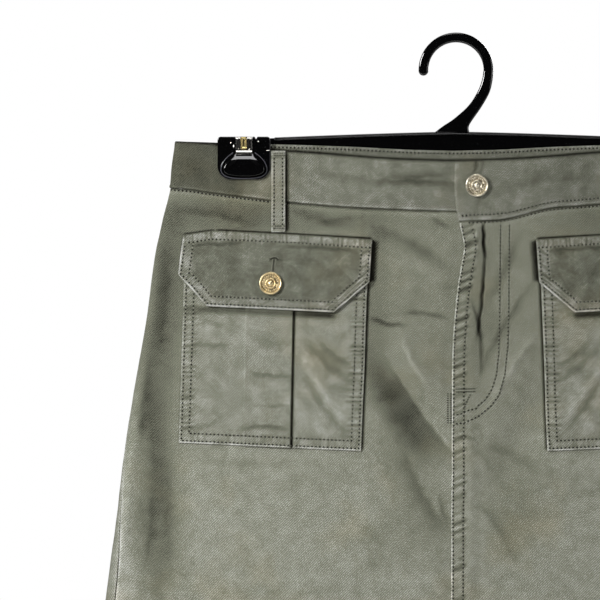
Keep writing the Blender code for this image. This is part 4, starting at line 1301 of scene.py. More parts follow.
class SKIRT_OT_fronts(Maker, Operator):
    """Make the two fronts, the left lapped over the right"""

    bl_idname = "skirt.fronts"
    bl_label = "Fronts"

    def make(self, cloths, trims):
        finish = made_once("sage_twill_front", twill, cloths, 1.0, front_shadows())
        for hand, name in SIDES:
            self.front(hand, "front_" + name, cloths, finish)

    def front(self, hand, name, cloths, finish):
        def place(u, v):
            low = mix(edge(WIDEST, "front_seam"), edge(WIDEST, "hem"), v)
            start = lap_edge(mix(front_seam(0.0, hand), edge(0.0, "hem"), v))
            start = start + (PANEL_LAP if hand == RIGHT else 0.0)
            side = mix(start, hand * seam_side(FRONT, low), u)
            return side, mix(front_seam(side, hand), edge(side, "hem"), v)

        # Painted shade: along the creases and over the broad patches, a painted shadow just under the
        # waistband's seam with a paler band a little below it, and the fly's painted shade on the left
        # front
        def tone(side, drop):
            creases = crease_painted_shade(FRONT_CREASES, side, drop) * off_pocket(side, drop)
            creases = creases + patch_painted_shade(FRONT, side, drop)
            below = drop - front_seam(side, hand)
            seam = 0.85 * bell(below - 0.0006, 0.0008) - 0.12 * bell(below - 0.003, 0.0012)
            return creases + seam + (fly_painted_shade(side, drop) if hand == LEFT else 0.0)

        def wear(side, drop):
            return 0.34 + 0.36 * smooth(1 - (side * hand - lap_edge(drop) - 0.006) / 0.004)

        fine = cloths.panel_pitch
        across = ((0.016, fine * 0.4), (0.03, fine * 0.5), (0.085, fine * 0.7), (0.195, fine * 1.9))
        down = ((0.006, fine * 0.4), (0.24, fine * 0.7))
        columns = spread(0.27, fine * 0.75, stretches=across)
        rows = spread(0.42, fine * 1.3, stretches=down)
        made = cloth(name, panel_layer(hand), columns, rows, place, finish, tone, wear=wear)


def across_back(top, foot, clear=0.0):
    """Grid places across the back from one of its edges to just above another."""

    def place(u, v):
        low = mix(edge(WIDEST, top), edge(WIDEST, foot), v)
        side = mix(-1.0, 1.0, u) * seam_side(BACK, low)
        return side, mix(edge(side, top), edge(side, foot) - clear, v)

    return place


class SKIRT_OT_back(Maker, Operator):
    """Make the plain back"""

    bl_idname = "skirt.back"
    bl_label = "Back"

    def make(self, cloths, trims):
        # Painted shade along the back seam and the creases, and over the broad patches
        def tone(side, drop):
            seam = 0.35 * bell(drop - edge(side, "back_seam"), 0.0009)
            return crease_painted_shade(BACK_CREASES, side, drop) + seam + patch_painted_shade(BACK, side, drop)

        # The back's copy of the cloth is darkened by painted shade
        finish = made_once("sage_twill_back", twill, cloths, 0.9)
        columns = spread(0.54, cloths.panel_pitch * 1.35)
        rows = spread(0.42, cloths.panel_pitch * 1.3)
        place = across_back("back_seam", "hem")
        made = cloth("back", BACK_LAYER, columns, rows, place, finish, tone, wear=0.3)


class SKIRT_OT_waistband(Maker, Operator):
    """Make the waistband: two fronts that lap, and the back"""

    bl_idname = "skirt.waistband"
    bl_label = "Waistband"

    def make(self, cloths, trims):
        # The waistband's copies of the cloth are darkened by painted shade, with a painted shadow beside
        # the front loops
        self.finish = made_once("sage_twill_band", twill, cloths, 0.7, [LOOP_SHADOW], 0.22)
        for hand, name in SIDES:
            self.front(hand, "waistband_front_" + name, cloths)
        self.finish = made_once("sage_twill_back_band", twill, cloths, 0.7, (), 0.22)
        self.back(cloths)

    def front(self, hand, name, cloths):
        def place(u, v):
            low = mix(edge(WIDEST, "front_top"), edge(WIDEST, "front_seam"), v)
            centre = mix(edge(0.0, "front_top"), front_seam(0.0, hand), v)
            start = BAND_LAP if hand == RIGHT else lap_edge(centre)
            side = mix(start, hand * seam_side(FRONT, low), u)
            bottom = front_seam(side, hand) - SEAM_GAP / 4
            return side, mix(edge(side, "front_top"), bottom, v)

        def tone(side, drop):
            return band_painted_shade(FRONT, side, drop, hand)

        length = 0.235 if hand == RIGHT else 0.205
        columns, rows = spread(length, cloths.pocket_pitch * 1.3), spread(0.036, cloths.pocket_pitch)
        made = cloth(name, band_layer(hand), columns, rows, place, self.finish, tone)

    def back(self, cloths):
        def tone(side, drop):
            return band_painted_shade(BACK, side, drop)

        def within(side, drop):
            """Shaded where the front waistband's top edge stands close before it."""
            below_front = drop - edge(side, "front_top")
            return 0.1 + 1.4 * smooth((below_front + 0.0024) / 0.0022)

        columns = spread(0.41, cloths.pocket_pitch * 1.5)
        rows = spread(0.036, cloths.pocket_pitch * 0.9)
        place = across_back("back_top", "back_seam", SEAM_GAP / 4)
        layer, finish = BACK_BAND_LAYER, self.finish
        made = cloth("waistband_back", layer, columns, rows, place, finish, tone, within=within)


class SKIRT_OT_belt_loops(Maker, Operator):
    """Make the five belt loops"""

    bl_idname = "skirt.belt_loops"
    bl_label = "Belt loops"

    def make(self, cloths, trims):
        # The loops' copy of the cloth is darkened by painted shade
        finish = made_once("sage_twill_loop", twill, cloths, 0.83)
        for name, face, centre, top in loop_places():
            self.loop(name, face, centre, top, cloths, finish)

    def loop(self, name, face, centre, top, cloths, finish):
        def place(u, v):
            return centre + (u - 0.5) * LOOP_WIDTH, top + LOOP_LENGTH * v

        # Painted shade: a little along the rows of stitching, more at the tacked ends
        def tone(side, drop):
            rows = bell(np.abs(side - centre) - LOOP_WIDTH / 2 + LOOP_ROW, 0.0007)
            share = (drop - top) / LOOP_LENGTH
            ends = bell(share - 0.075, 0.018) + bell(share - 0.925, 0.014)
            return 0.08 * rows + 0.45 * ends

        pitch = cloths.pocket_pitch * 0.75
        columns, rows = spread(LOOP_WIDTH, pitch), spread(LOOP_LENGTH, pitch)
        made = cloth(name, loop_layer(face, centre, top), columns, rows, place, finish, tone, wear=0.3)
        band = "waistband_front_" + name.rsplit("_", 1)[1] if face == FRONT else "waistband_back"


def loop_places():
    """Each belt loop's name, face, centre and top."""
    found = [("belt_loop_back_centre", BACK, 0.0, edge(0.0, "back_top") + BACK_LOOP_DROP)]
    for hand, name in SIDES:
        top = edge(FRONT_LOOP_X, "front_top")
        found.append(("belt_loop_front_" + name, FRONT, hand * FRONT_LOOP_X, top))
        top = edge(BACK_LOOP_X, "back_top") + BACK_LOOP_DROP
        found.append(("belt_loop_back_" + name, BACK, hand * BACK_LOOP_X, top))
    return found


class SKIRT_OT_pockets(Maker, Operator):
    """Make the cargo pockets with their box pleats"""

    bl_idname = "skirt.pockets"
    bl_label = "Pockets"

    def make(self, cloths, trims):
        # The pockets' copy of the cloth is darkened by painted shade
        finish = made_once("sage_twill_pocket", twill, cloths, 0.88, (), 0.2)
        for hand, name in SIDES:
            self.pocket(hand, "pocket_" + name, cloths, finish)

    def pocket(self, hand, name, cloths, finish):
        def place(u, v):
            low = mix(POCKET_DROPS[1], POCKET_FOOT_DROPS[1], v)
            lines = [pocket_line(i, low) for i in range(4)]
            zones = [mix(lines[i], lines[i + 1], u - i) for i in range(3)]
            side = np.select([u <= 1, u <= 2], zones[:2], zones[2])
            top, foot = pocket_row(side, POCKET_DROPS), pocket_row(side, POCKET_FOOT_DROPS)
            return hand * side, mix(top, foot, v)

        # Painted shade: a painted shadow in the slot beside the pleat's inner fold and faint painted
        # light on its outer fold, shade in the gathers and along the creases and rows, and a painted
        # shadow under the flap's foot
        def tone(side, drop):
            reach = np.abs(side)
            slot = 1.6 * bell(reach - pocket_line(1, drop) + 0.0006, 0.0008)
            slot = slot - 0.1 * bell(reach - pocket_line(2, drop), 0.0006)
            gathers = gather_painted_shade(pocket_ladder(side, drop), 0.42, 0.16)
            below_flap = drop - mix(*FLAP_FOOT_DROPS, np.clip((0.1771 - reach) / 0.0914, 0, 1))
            inner_half = 0.7 + 0.5 * smooth((0.12 - reach) / 0.02)
            flap_painted_shadow = inner_half * bell(below_flap - 0.0022, 0.0024)
            flap_painted_shadow = flap_painted_shadow * smooth((reach - 0.083) / 0.006)
            creases = crease_painted_shade(POCKET_CREASES, reach, drop) + 0.18 * crumple(side, drop, 2.0)
            return creases + slot + gathers + 0.1 * pocket_rows(side, drop) + flap_painted_shadow

        def wear(side, drop):
            return 0.22 + 0.38 * smooth((drop - pocket_row(side, POCKET_FOOT_DROPS) + 0.0025) / 0.001)

        pitch = cloths.pocket_pitch
        folds = (0.0, 0.0003, 0.0006, 0.0009, 0.0013)
        columns = zoned(spread(0.052, pitch), spread(0.034, pitch, folds), spread(0.045, pitch))
        rows = spread(0.137, pitch)
        made = cloth(name, POCKET_LAYER, columns, rows, place, finish, tone, pleat_rise, wear=wear)
        "front_" + name.split("_")[1]


class SKIRT_OT_flaps(Maker, Operator):
    """Make the mitred pocket flaps"""

    bl_idname = "skirt.flaps"
    bl_label = "Pocket flaps"

    def make(self, cloths, trims):
        # The flaps' copy of the cloth is darkened by painted shade
        finish = made_once("sage_twill_flap", twill, cloths, 0.7, (), 0.34)
        for hand, name in SIDES:
            self.flap(hand, "flap_" + name, cloths, finish)

    def flap(self, hand, name, cloths, finish):
        def place(u, v):
            share = np.interp(u, (0, 1, 2, 3), (0.0, *FLAP_MITRES, 1.0))
            side = mix(*FLAP_TOP, share) + FLAP_SLANT * v
            sides, feet = FLAP_SIDE_DROPS, FLAP_FOOT_DROPS
            foot = np.interp(u, (0, 1, 2, 3), (sides[0], feet[0], feet[1], sides[1]))
            return hand * side, mix(flap_top(mix(*FLAP_TOP, share)), foot, v)

        # Painted shade: in the gathers, along the creases and rows, a painted shadow line at the top
        # edge, and the middle darker than the border
        def tone(side, drop):
            gathers = gather_painted_shade(flap_ladder(side, drop), 0.36, 0.14)
            below_top, margin = drop - flap_top(side), flap_margin(side, drop)
            inside = smooth((margin - SECOND_ROW) / 0.002) * smooth((below_top - FLAP_TOP_ROW) / 0.002)
            edges = 0.1 * flap_rows(side, drop) + 0.7 * bell(below_top, 0.0009)
            folds = crease_painted_shade(FLAP_CREASES, np.abs(side), drop) + 0.3 * crumple(side, drop, 7.0)
            return folds + gathers + edges - 0.06 + 0.31 * inside

        def wear(side, drop):
            outer = 0.35 + 0.45 * smooth((np.abs(side) - FLAP_TOP[1] - 0.0035) / 0.002)
            return outer * smooth((drop - flap_top(side) - 0.0015) / 0.002)

        pitch = cloths.pocket_pitch * 0.85
        columns = zoned(*(spread(width, pitch) for width in (0.02, 0.091, 0.026)))
        rows = spread(0.05, pitch)
        made = cloth(name, FLAP_LAYER, columns, rows, place, finish, tone, wear=wear)


class SKIRT_OT_stitching(Maker, Operator):
    """Sew the rows of topstitching, the bar tacks and the buttonholes"""

    bl_idname = "skirt.stitching"
    bl_label = "Topstitching"

    def make(self, cloths, trims):
        self.cloths = cloths
        self.finishes = [
            made_once("tonal_thread", thread_finish, cloths.thread),
            made_once("needle_holes", thread_finish, cloths.hole),
        ]
        self.panels()
        self.back()
        self.waistband()
        self.loops()
        for hand, name in SIDES:
            self.pocket(hand, name)
            self.flap(hand, name)

    def panels(self):
        for hand, name in SIDES:
            thread = Thread(self.cloths, panel_layer(hand))
            seams = np.linspace(0.008 if hand == LEFT else -0.12, hand * 0.204, 24)
            thread.row([(s, front_seam(s, hand) + 0.0013) for s in seams])
            hems = np.linspace(0.002 if hand == LEFT else -0.006, hand * 0.262, 20)
            thread.row([(s, edge(s, "hem") - HEM_ROW) for s in hems], length=HEM_STITCH)
            if hand == LEFT:
                self.fly(thread)
            else:
                for shift in (0.0007, 0.0029):
                    row = [(lap_edge(d) - shift, d) for d in (0.252, 0.2745)]
                    thread.row(row, length=0.0016)
            thread.finish("stitching_front_" + name, self.finishes)

    def fly(self, thread):
        for row, top in zip(FLY_ROWS, (0.131, 0.133)):
            drops = np.linspace(top, 0.53, 60)
            thread.row([(lap_edge(d) + row, d) for d in drops])
        for curve in FLY_CURVES:
            thread.row(curve)
        thread.row(FLY_DIAGONAL, length=0.0018)
        self.tack(thread, *FLY_TACK, wide=0.0019)

    def tack(self, thread, start, end, wide=0.0013):
        """A bar tack: close stitches across a short line, with their holes on both sides."""
        run = unit(np.subtract(end, start))
        across = np.array([-run[1], run[0]]) * wide
        for point in path_points([start, end], TACK_PITCH)[0]:
            pair = [point - across / 2, point + across / 2]
            thread.row(pair, length=wide, width=0.9, holes=False)
        for aside in (across * -0.55, across * 0.55):
            thread.holes_along(np.add([start, end], aside), 0.0011)

    def back(self):
        thread = Thread(self.cloths, BACK_LAYER)
        seams = np.linspace(-0.204, 0.204, 48)
        thread.row([(s, edge(s, "back_seam") + 0.0014) for s in seams])
        hems = np.linspace(-0.268, 0.268, 40)
        thread.row([(s, edge(s, "hem") - HEM_ROW) for s in hems], length=HEM_STITCH)
        thread.finish("stitching_back", self.finishes)

    def waistband(self):
        thread = Thread(self.cloths, BACK_BAND_LAYER)
        inside = np.linspace(-0.196, 0.196, 40)
        thread.row([(s, edge(s, "back_top") + 0.0021) for s in inside], out_side=-1)
        thread.row([(s, edge(s, "back_seam") - 0.0026) for s in inside])
        thread.layer = band_layer(LEFT)
        lower = np.linspace(0.003, 0.196, 24)
        thread.row([(s, front_seam(s, LEFT) - 0.0042) for s in lower])
        hole = [(0.0165, 0.1004), (0.0258, 0.1004), (0.0262, 0.1022), (0.0165, 0.1022)]
        thread.row(hole, length=0.0009, width=1.1, holes=False)
        thread.row([(0.0036, 0.1262), (0.0086, 0.1258)], length=0.0025, width=1.5)
        thread.finish("stitching_waistband", self.finishes)

    def loops(self):
        thread = Thread(self.cloths)
        for _, face, centre, top in loop_places():
            thread.layer = loop_layer(face, centre, top)
            for row in (-1, 1):
                x = centre + row * (LOOP_WIDTH / 2 - LOOP_ROW)
                thread.row([(x, top + 0.003), (x, top + LOOP_LENGTH - 0.003)])
            for drop in (top + 0.0026, top + LOOP_LENGTH - 0.0036):
                half = LOOP_WIDTH / 2 - 0.0009
                self.tack(thread, (centre - half, drop), (centre + half, drop))
        thread.finish("stitching_belt_loops", self.finishes)

    def pocket(self, hand, name):
        thread = Thread(self.cloths, POCKET_LAYER)
        top, foot = POCKET_DROPS, POCKET_FOOT_DROPS
        outline = [
            (POCKET_TOP[0], top[0] + 0.002),
            (POCKET_FOOT[0], foot[0]),
            (POCKET_FOOT[3], foot[1]),
            (POCKET_TOP[3], top[1] + 0.002),
        ]
        for row in BORDER_ROWS:
            corners = [(hand * x, drop) for x, drop in inset(outline, row)]
            fine = [p for a, b in zip(corners, corners[1:]) for p in np.linspace(a, b, 24)[:-1]]
            thread.row([*fine, corners[-1]], rise=pleat_rise)
        thread.finish("stitching_pocket_" + name, self.finishes)

    def flap(self, hand, name):
        thread = Thread(self.cloths, FLAP_LAYER)
        for row in BORDER_ROWS:
            corners = inset(flap_corners(), row)
            for end in (0, -1):
                x = corners[end][0]
                corners[end] = np.array([x, flap_top(x) + FLAP_TOP_ROW])
            thread.row([(hand * x, drop) for x, drop in corners])
        tops = np.linspace(FLAP_TOP[0] - 0.0016, FLAP_TOP[1] + 0.0016, 30)
        thread.row([(hand * x, flap_top(x) + FLAP_TOP_ROW) for x in tops])
        self.buttonhole(thread, hand)
        thread.finish("stitching_flap_" + name, self.finishes)

    def buttonhole(self, thread, hand):
        """A keyhole buttonhole, upright, its foot under the button."""
        x, top = BUTTONHOLE_TOP
        lean = 0.001
        slit = [(hand * x, top + 0.001), (hand * (x + lean), top + 0.012)]
        for shift in (-0.0005, 0.0005):
            thread.holes_along([(a + shift, d) for a, d in slit], 0.0009)
        for side in (-hand, hand):
            row = [(a + side * 0.001, d) for a, d in slit]
            thread.row(row, length=0.0008, width=1.4, holes=False)
        eye = [(-0.0034, 0.0016), (-0.0022, 0.0002), (0.0004, -0.0002), (0.003, 0.0008)]
        eye = [(hand * (x + aside), top + down) for aside, down in eye]
        thread.holes_along(eye, 0.0009)
        thread.holes_along([(a, d + 0.0009) for a, d in eye], 0.0009)
        above = [(a, d - 0.0007) for a, d in eye]
        thread.row(above, length=0.0009, width=1.3, holes=False)


# ---- Buttons ----


def turned(name, profile, sides, materials, place, slots):
    """A mesh turned about Z from (radius, height) pairs, then placed. slots gives the
    material of each step of the profile."""
    angles = np.arange(sides) * tau / sides
    ring = xyz(np.cos(angles), np.sin(angles), 0.0)
    points = ring[None] * profile[:, :1, None] + np.array([0, 0, 1.0]) * profile[:, 1:, None]
    faces = ring_quads(len(profile), sides).reshape(-1, 4)[:, [0, 3, 2, 1]]
    made = add_mesh(name, placed(points.reshape(-1, 3), place), faces, materials)
    made.data.polygons.foreach_set("material_index", np.repeat(slots, sides).astype(np.int32))
    return made


def placed(points, matrix):
    return np.asarray(points) @ np.array(matrix.to_3x3()).T + np.array(matrix.translation)


def button_place(node, side, drop):
    """Where a button stands: on its CAD solid's shank, facing out of the cloth."""
    low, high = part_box(node)
    normal = Vector(outwards(FRONT, np.array(side), np.array(drop)))
    turn = normal.to_track_quat("Z", "Y").to_matrix().to_4x4()
    foot = (low + high) / 2 - normal * (high.y - low.y) / 2
    return Matrix.Translation(foot) @ turn


class SKIRT_OT_buttons(Maker, Operator):
    """Make the tack buttons, with a generic ring of ticks round the dome"""

    bl_idname = "skirt.buttons"
    bl_label = "Tack buttons"

    # From the dome's crown out over its rim and the sunk ring to the outer rim, and back
    # under the cap to the shank: radius and height in millimetres, and 1 where a step lies in a
    # tarnished recess.
    PROFILE = (
        (0.01, 3.8, 0), (0.9, 3.7, 0), (1.6, 3.4, 0), (2.1, 2.9, 0), (2.4, 2.4, 1), (2.7, 2.4, 0),
        (3, 3, 0), (3.4, 3.2, 0), (3.7, 2.9, 0), (4, 2.3, 1), (6.6, 2.3, 0), (6.9, 2.8, 0),
        (7.2, 3.2, 0), (7.6, 3.4, 0), (8, 3.2, 0), (8.3, 2.6, 0), (8.1, 2, 0), (7.4, 1.5, 0),
        (3, 1.2, 0), (2.8, 0.1, 0), (0.01, 0.1, 0),
    )
    TICKS = 24

    def make(self, cloths, trims):
        worn = made_once("tarnished_brass", metal, np.array(trims.pocket_brass) * 0.24, 0.5)
        pale = made_once("polished_pale_brass", metal, trims.waist_brass, 0.28)
        gold = made_once("polished_gold_brass", metal, trims.pocket_brass, 0.3)
        self.button("waist_button", *WAIST_BUTTON, (pale, worn), "pale_brass", trims.sides)
        for hand, name in SIDES:
            x, drop = POCKET_BUTTON
            node = "pocket_button_" + name
            self.button(node, hand * x, drop, (gold, worn), "gold_brass", trims.sides)

    def button(self, node, side, drop, finishes, slot, sides):
        place = button_place(node, side, drop)
        radius, height, recess = np.array(self.PROFILE).T
        profile = np.stack([radius, height], -1) / 1000
        made = turned(node + "_cap", profile, sides, finishes, place, recess[:-1])
        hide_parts(node)
        self.ticks(node + "_ticks", place, finishes[0])

    def ticks(self, name, place, finish):
        """Short raised bars, long and short by turns, between the rims."""
        points, faces = [], []
        for i in range(self.TICKS):
            angle = tau * i / self.TICKS
            half_long, radius = (0.001, 0.0053) if i % 3 else (0.0006, 0.0056)
            turn = np.array(Matrix.Rotation(angle, 3, "Z"))
            for height, grow in ((0.0022, 1.0), (0.0028, 0.6)):
                for r, a in ((-1, -1), (1, -1), (1, 1), (-1, 1)):
                    along, aside = radius + r * half_long * grow, a * 0.00036 * grow
                    points.append(turn @ (along, aside, height))
            k = i * 8
            faces += [(k + 4, k + 5, k + 6, k + 7)]
            faces += [(k + j, k + (j + 1) % 4, k + 4 + (j + 1) % 4, k + 4 + j) for j in range(4)]
        return add_mesh(name, placed(points, place), faces, [finish])


# ---- Hanger and clips ----


def arc(x, z, radius, start, end, count):
    """Points on an arc, with its angles in turns."""
    turns = np.linspace(start, end, count + 1) * tau
    return [(x + radius * np.cos(turn), z + radius * np.sin(turn)) for turn in turns]


def curved(points, steps=5):
    """More points, on a smooth curve through these."""
    points = np.array(points, float)
    slopes = np.gradient(points, axis=0)
    at = np.linspace(0, len(points) - 1, (len(points) - 1) * steps + 1)
    low = np.minimum(at.astype(int), len(points) - 2)
    share = (at - low)[:, None]
    return eased(points[low], points[low + 1], slopes[low], slopes[low + 1], share)


def both_halves(half, middle_x):
    """A closed outline from its right half, which is given from top to bottom."""
    half = curved([(x, -drop) for x, drop in half])
    left = half[::-1] * (-1, 1)
    return np.concatenate([half, left[1:]]) + (middle_x, 0.0)


def moulded(name, outline, front, back, bevel, finish):
    """A flat piece cut to an (x, z) outline between two depths, with rounded edges."""
    curve = bpy.data.curves.new(name, "CURVE")
    curve.dimensions = "2D"
    curve.fill_mode = "BOTH"
    curve.extrude = (back - front) / 2 - bevel
    curve.bevel_depth = bevel
    curve.bevel_resolution = 3
    curve.offset = -bevel
    spline = curve.splines.new("POLY")
    spline.points.add(len(outline) - 1)
    for point, (x, z) in zip(spline.points, outline):
        point.co = (x, z, 0.0, 1.0)
    spline.use_cyclic_u = True
    flat = linked(name, curve)
    bpy.context.view_layer.update()
    shape = flat.evaluated_get(bpy.context.evaluated_depsgraph_get())
    mesh = bpy.data.meshes.new_from_object(shape)
    bpy.data.objects.remove(flat)
    bpy.data.curves.remove(curve)
    upright = Matrix.Translation((0, (front + back) / 2, 0)) @ Matrix.Rotation(pi / 2, 4, "X")
    mesh.transform(upright)
    return hardware(name, mesh, finish)


def hardware(name, mesh, finish):
    """Links a mesh as a piece whose flat faces stay flat beside its rounded edges."""
    mesh.materials.clear()
    mesh.materials.append(finish)
    mesh.shade_smooth()
    made = linked(name, mesh)
    flats = made.modifiers.new("flat_faces", "WEIGHTED_NORMAL")
    flats.weight = 100
    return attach(made, "root")


def shell(name, points, finish, wrap=True):
    """A piece from rings of points, closed round each ring where it wraps."""
    points = np.asarray(points)
    rings, count = points.shape[:2]
    faces = ring_quads(rings, count)
    faces = (faces if wrap else faces[:, :-1]).reshape(-1, 4).tolist()
    if wrap:
        last = (rings - 1) * count
        faces += [list(range(count))[::-1], list(range(last, last + count))]
    mesh = bpy.data.meshes.new(name)
    mesh.from_pydata(points.reshape(-1, 3).tolist(), [], faces)
    return hardware(name, mesh, finish)


def bar_top(x):
    return -BAR_CREST - BAR_ARCH * (np.abs(x) / BAR_REACH) ** 1.3


def strip_outline(reach, shift, height):
    """A strip along the bar's arched top edge, `shift` below it."""
    xs = np.linspace(-reach, reach, 41)
    top = [(x, bar_top(x) - shift) for x in xs]
    return top + [(x, z - height) for x, z in top[::-1]]


class SKIRT_OT_hanger(Maker, Operator):
    """Mould the hanger: hook, neck, flanged bar and end plates"""

    bl_idname = "skirt.hanger"
    bl_label = "Hanger"

    def make(self, cloths, trims):
        finish = made_once("gloss_black", plastic, trims.plastic, 0.1)
        half = HANGER_DEPTH / 2
        flange, web = FLANGE_DEPTH / 2, WEB_DEPTH / 2
        bead = flange + 0.0005
        bar = strip_outline(BAR_REACH, 0.0, FLANGE_HEIGHT)
        rib = strip_outline(BAR_REACH - 0.002, 0.0011, 0.0012)
        sheet = strip_outline(CLIP_X - 0.014, 0.0004, BAR_HEIGHT)
        pieces = [
            moulded("hanger_hook", self.hook(), -half, half, 0.0012, finish),
            moulded("hanger_flange", bar, -flange, flange, 0.0008, finish),
            moulded("hanger_rib", rib, -bead, bead, 0.0005, finish),
            moulded("hanger_web", sheet, -web, web, 0.0003, finish),
        ]
        for hand, name in SIDES:
            front, back = -half, PLATE_DEPTH - half
            plate = plate_outline(hand, 0.0045)
            pieces.append(moulded("hanger_plate_" + name, plate, front, back, 0.0005, finish))
        for piece in pieces:
            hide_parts("hanger")

    def hook(self):
        """The hook opens to the wearer's right, and its neck spreads on to the bar."""
        centre, tip, mid = -HOOK_BORE, 0.504, HOOK_BORE + HOOK_WIDTH / 2
        tip_x, tip_z = mid * np.cos(tip * tau), centre + mid * np.sin(tip * tau)
        rim = arc(0.0, centre, HOOK_BORE + HOOK_WIDTH, tip, 0.0, 48)
        bore = arc(0.0, centre, HOOK_BORE, 0.0, tip, 40)
        end = arc(tip_x, tip_z, HOOK_WIDTH / 2, tip + 0.5, tip, 12)[1:-1]
        necks = [curved([rim[-1], *NECK_RIGHT])[1:], curved([*NECK_LEFT, bore[0]])[:-1]]
        return [*rim, *necks[0], *necks[1], *bore, *end]


def plate_outline(hand, foot):
    """A clip's plate: square shoulders, round feet, a slot in its top edge for the spring and
    a small vee towards the middle of the hanger."""
    shoulder, half, slot = 0.0025, JAW_WIDTH / 2, SPRING_WIDTH / 2 + SEAM_GAP
    top = [(slot, 0.0), (slot, NOTCH_DEPTH), (-slot, NOTCH_DEPTH), (-slot, 0.0)]
    top = [*zip(VEE[::-1], (0.0, 0.0017, 0.0)), *top]
    outline = arc(half - shoulder, -CLIP_TOP - shoulder, shoulder, 0.0, 0.25, 8)
    outline += [(x, -CLIP_TOP - depth) for x, depth in top]
    outline += arc(shoulder - half, -CLIP_TOP - shoulder, shoulder, 0.25, 0.5, 8)
    outline += arc(foot - half, -CLIP_FOOT + foot, foot, 0.5, 0.75, 14)
    outline += arc(half - foot, -CLIP_FOOT + foot, foot, 0.75, 1.0, 14)
    return [(hand * (CLIP_X - x), z) for x, z in outline]


Boss = namedtuple("Boss", "aside drop half_width half_height")


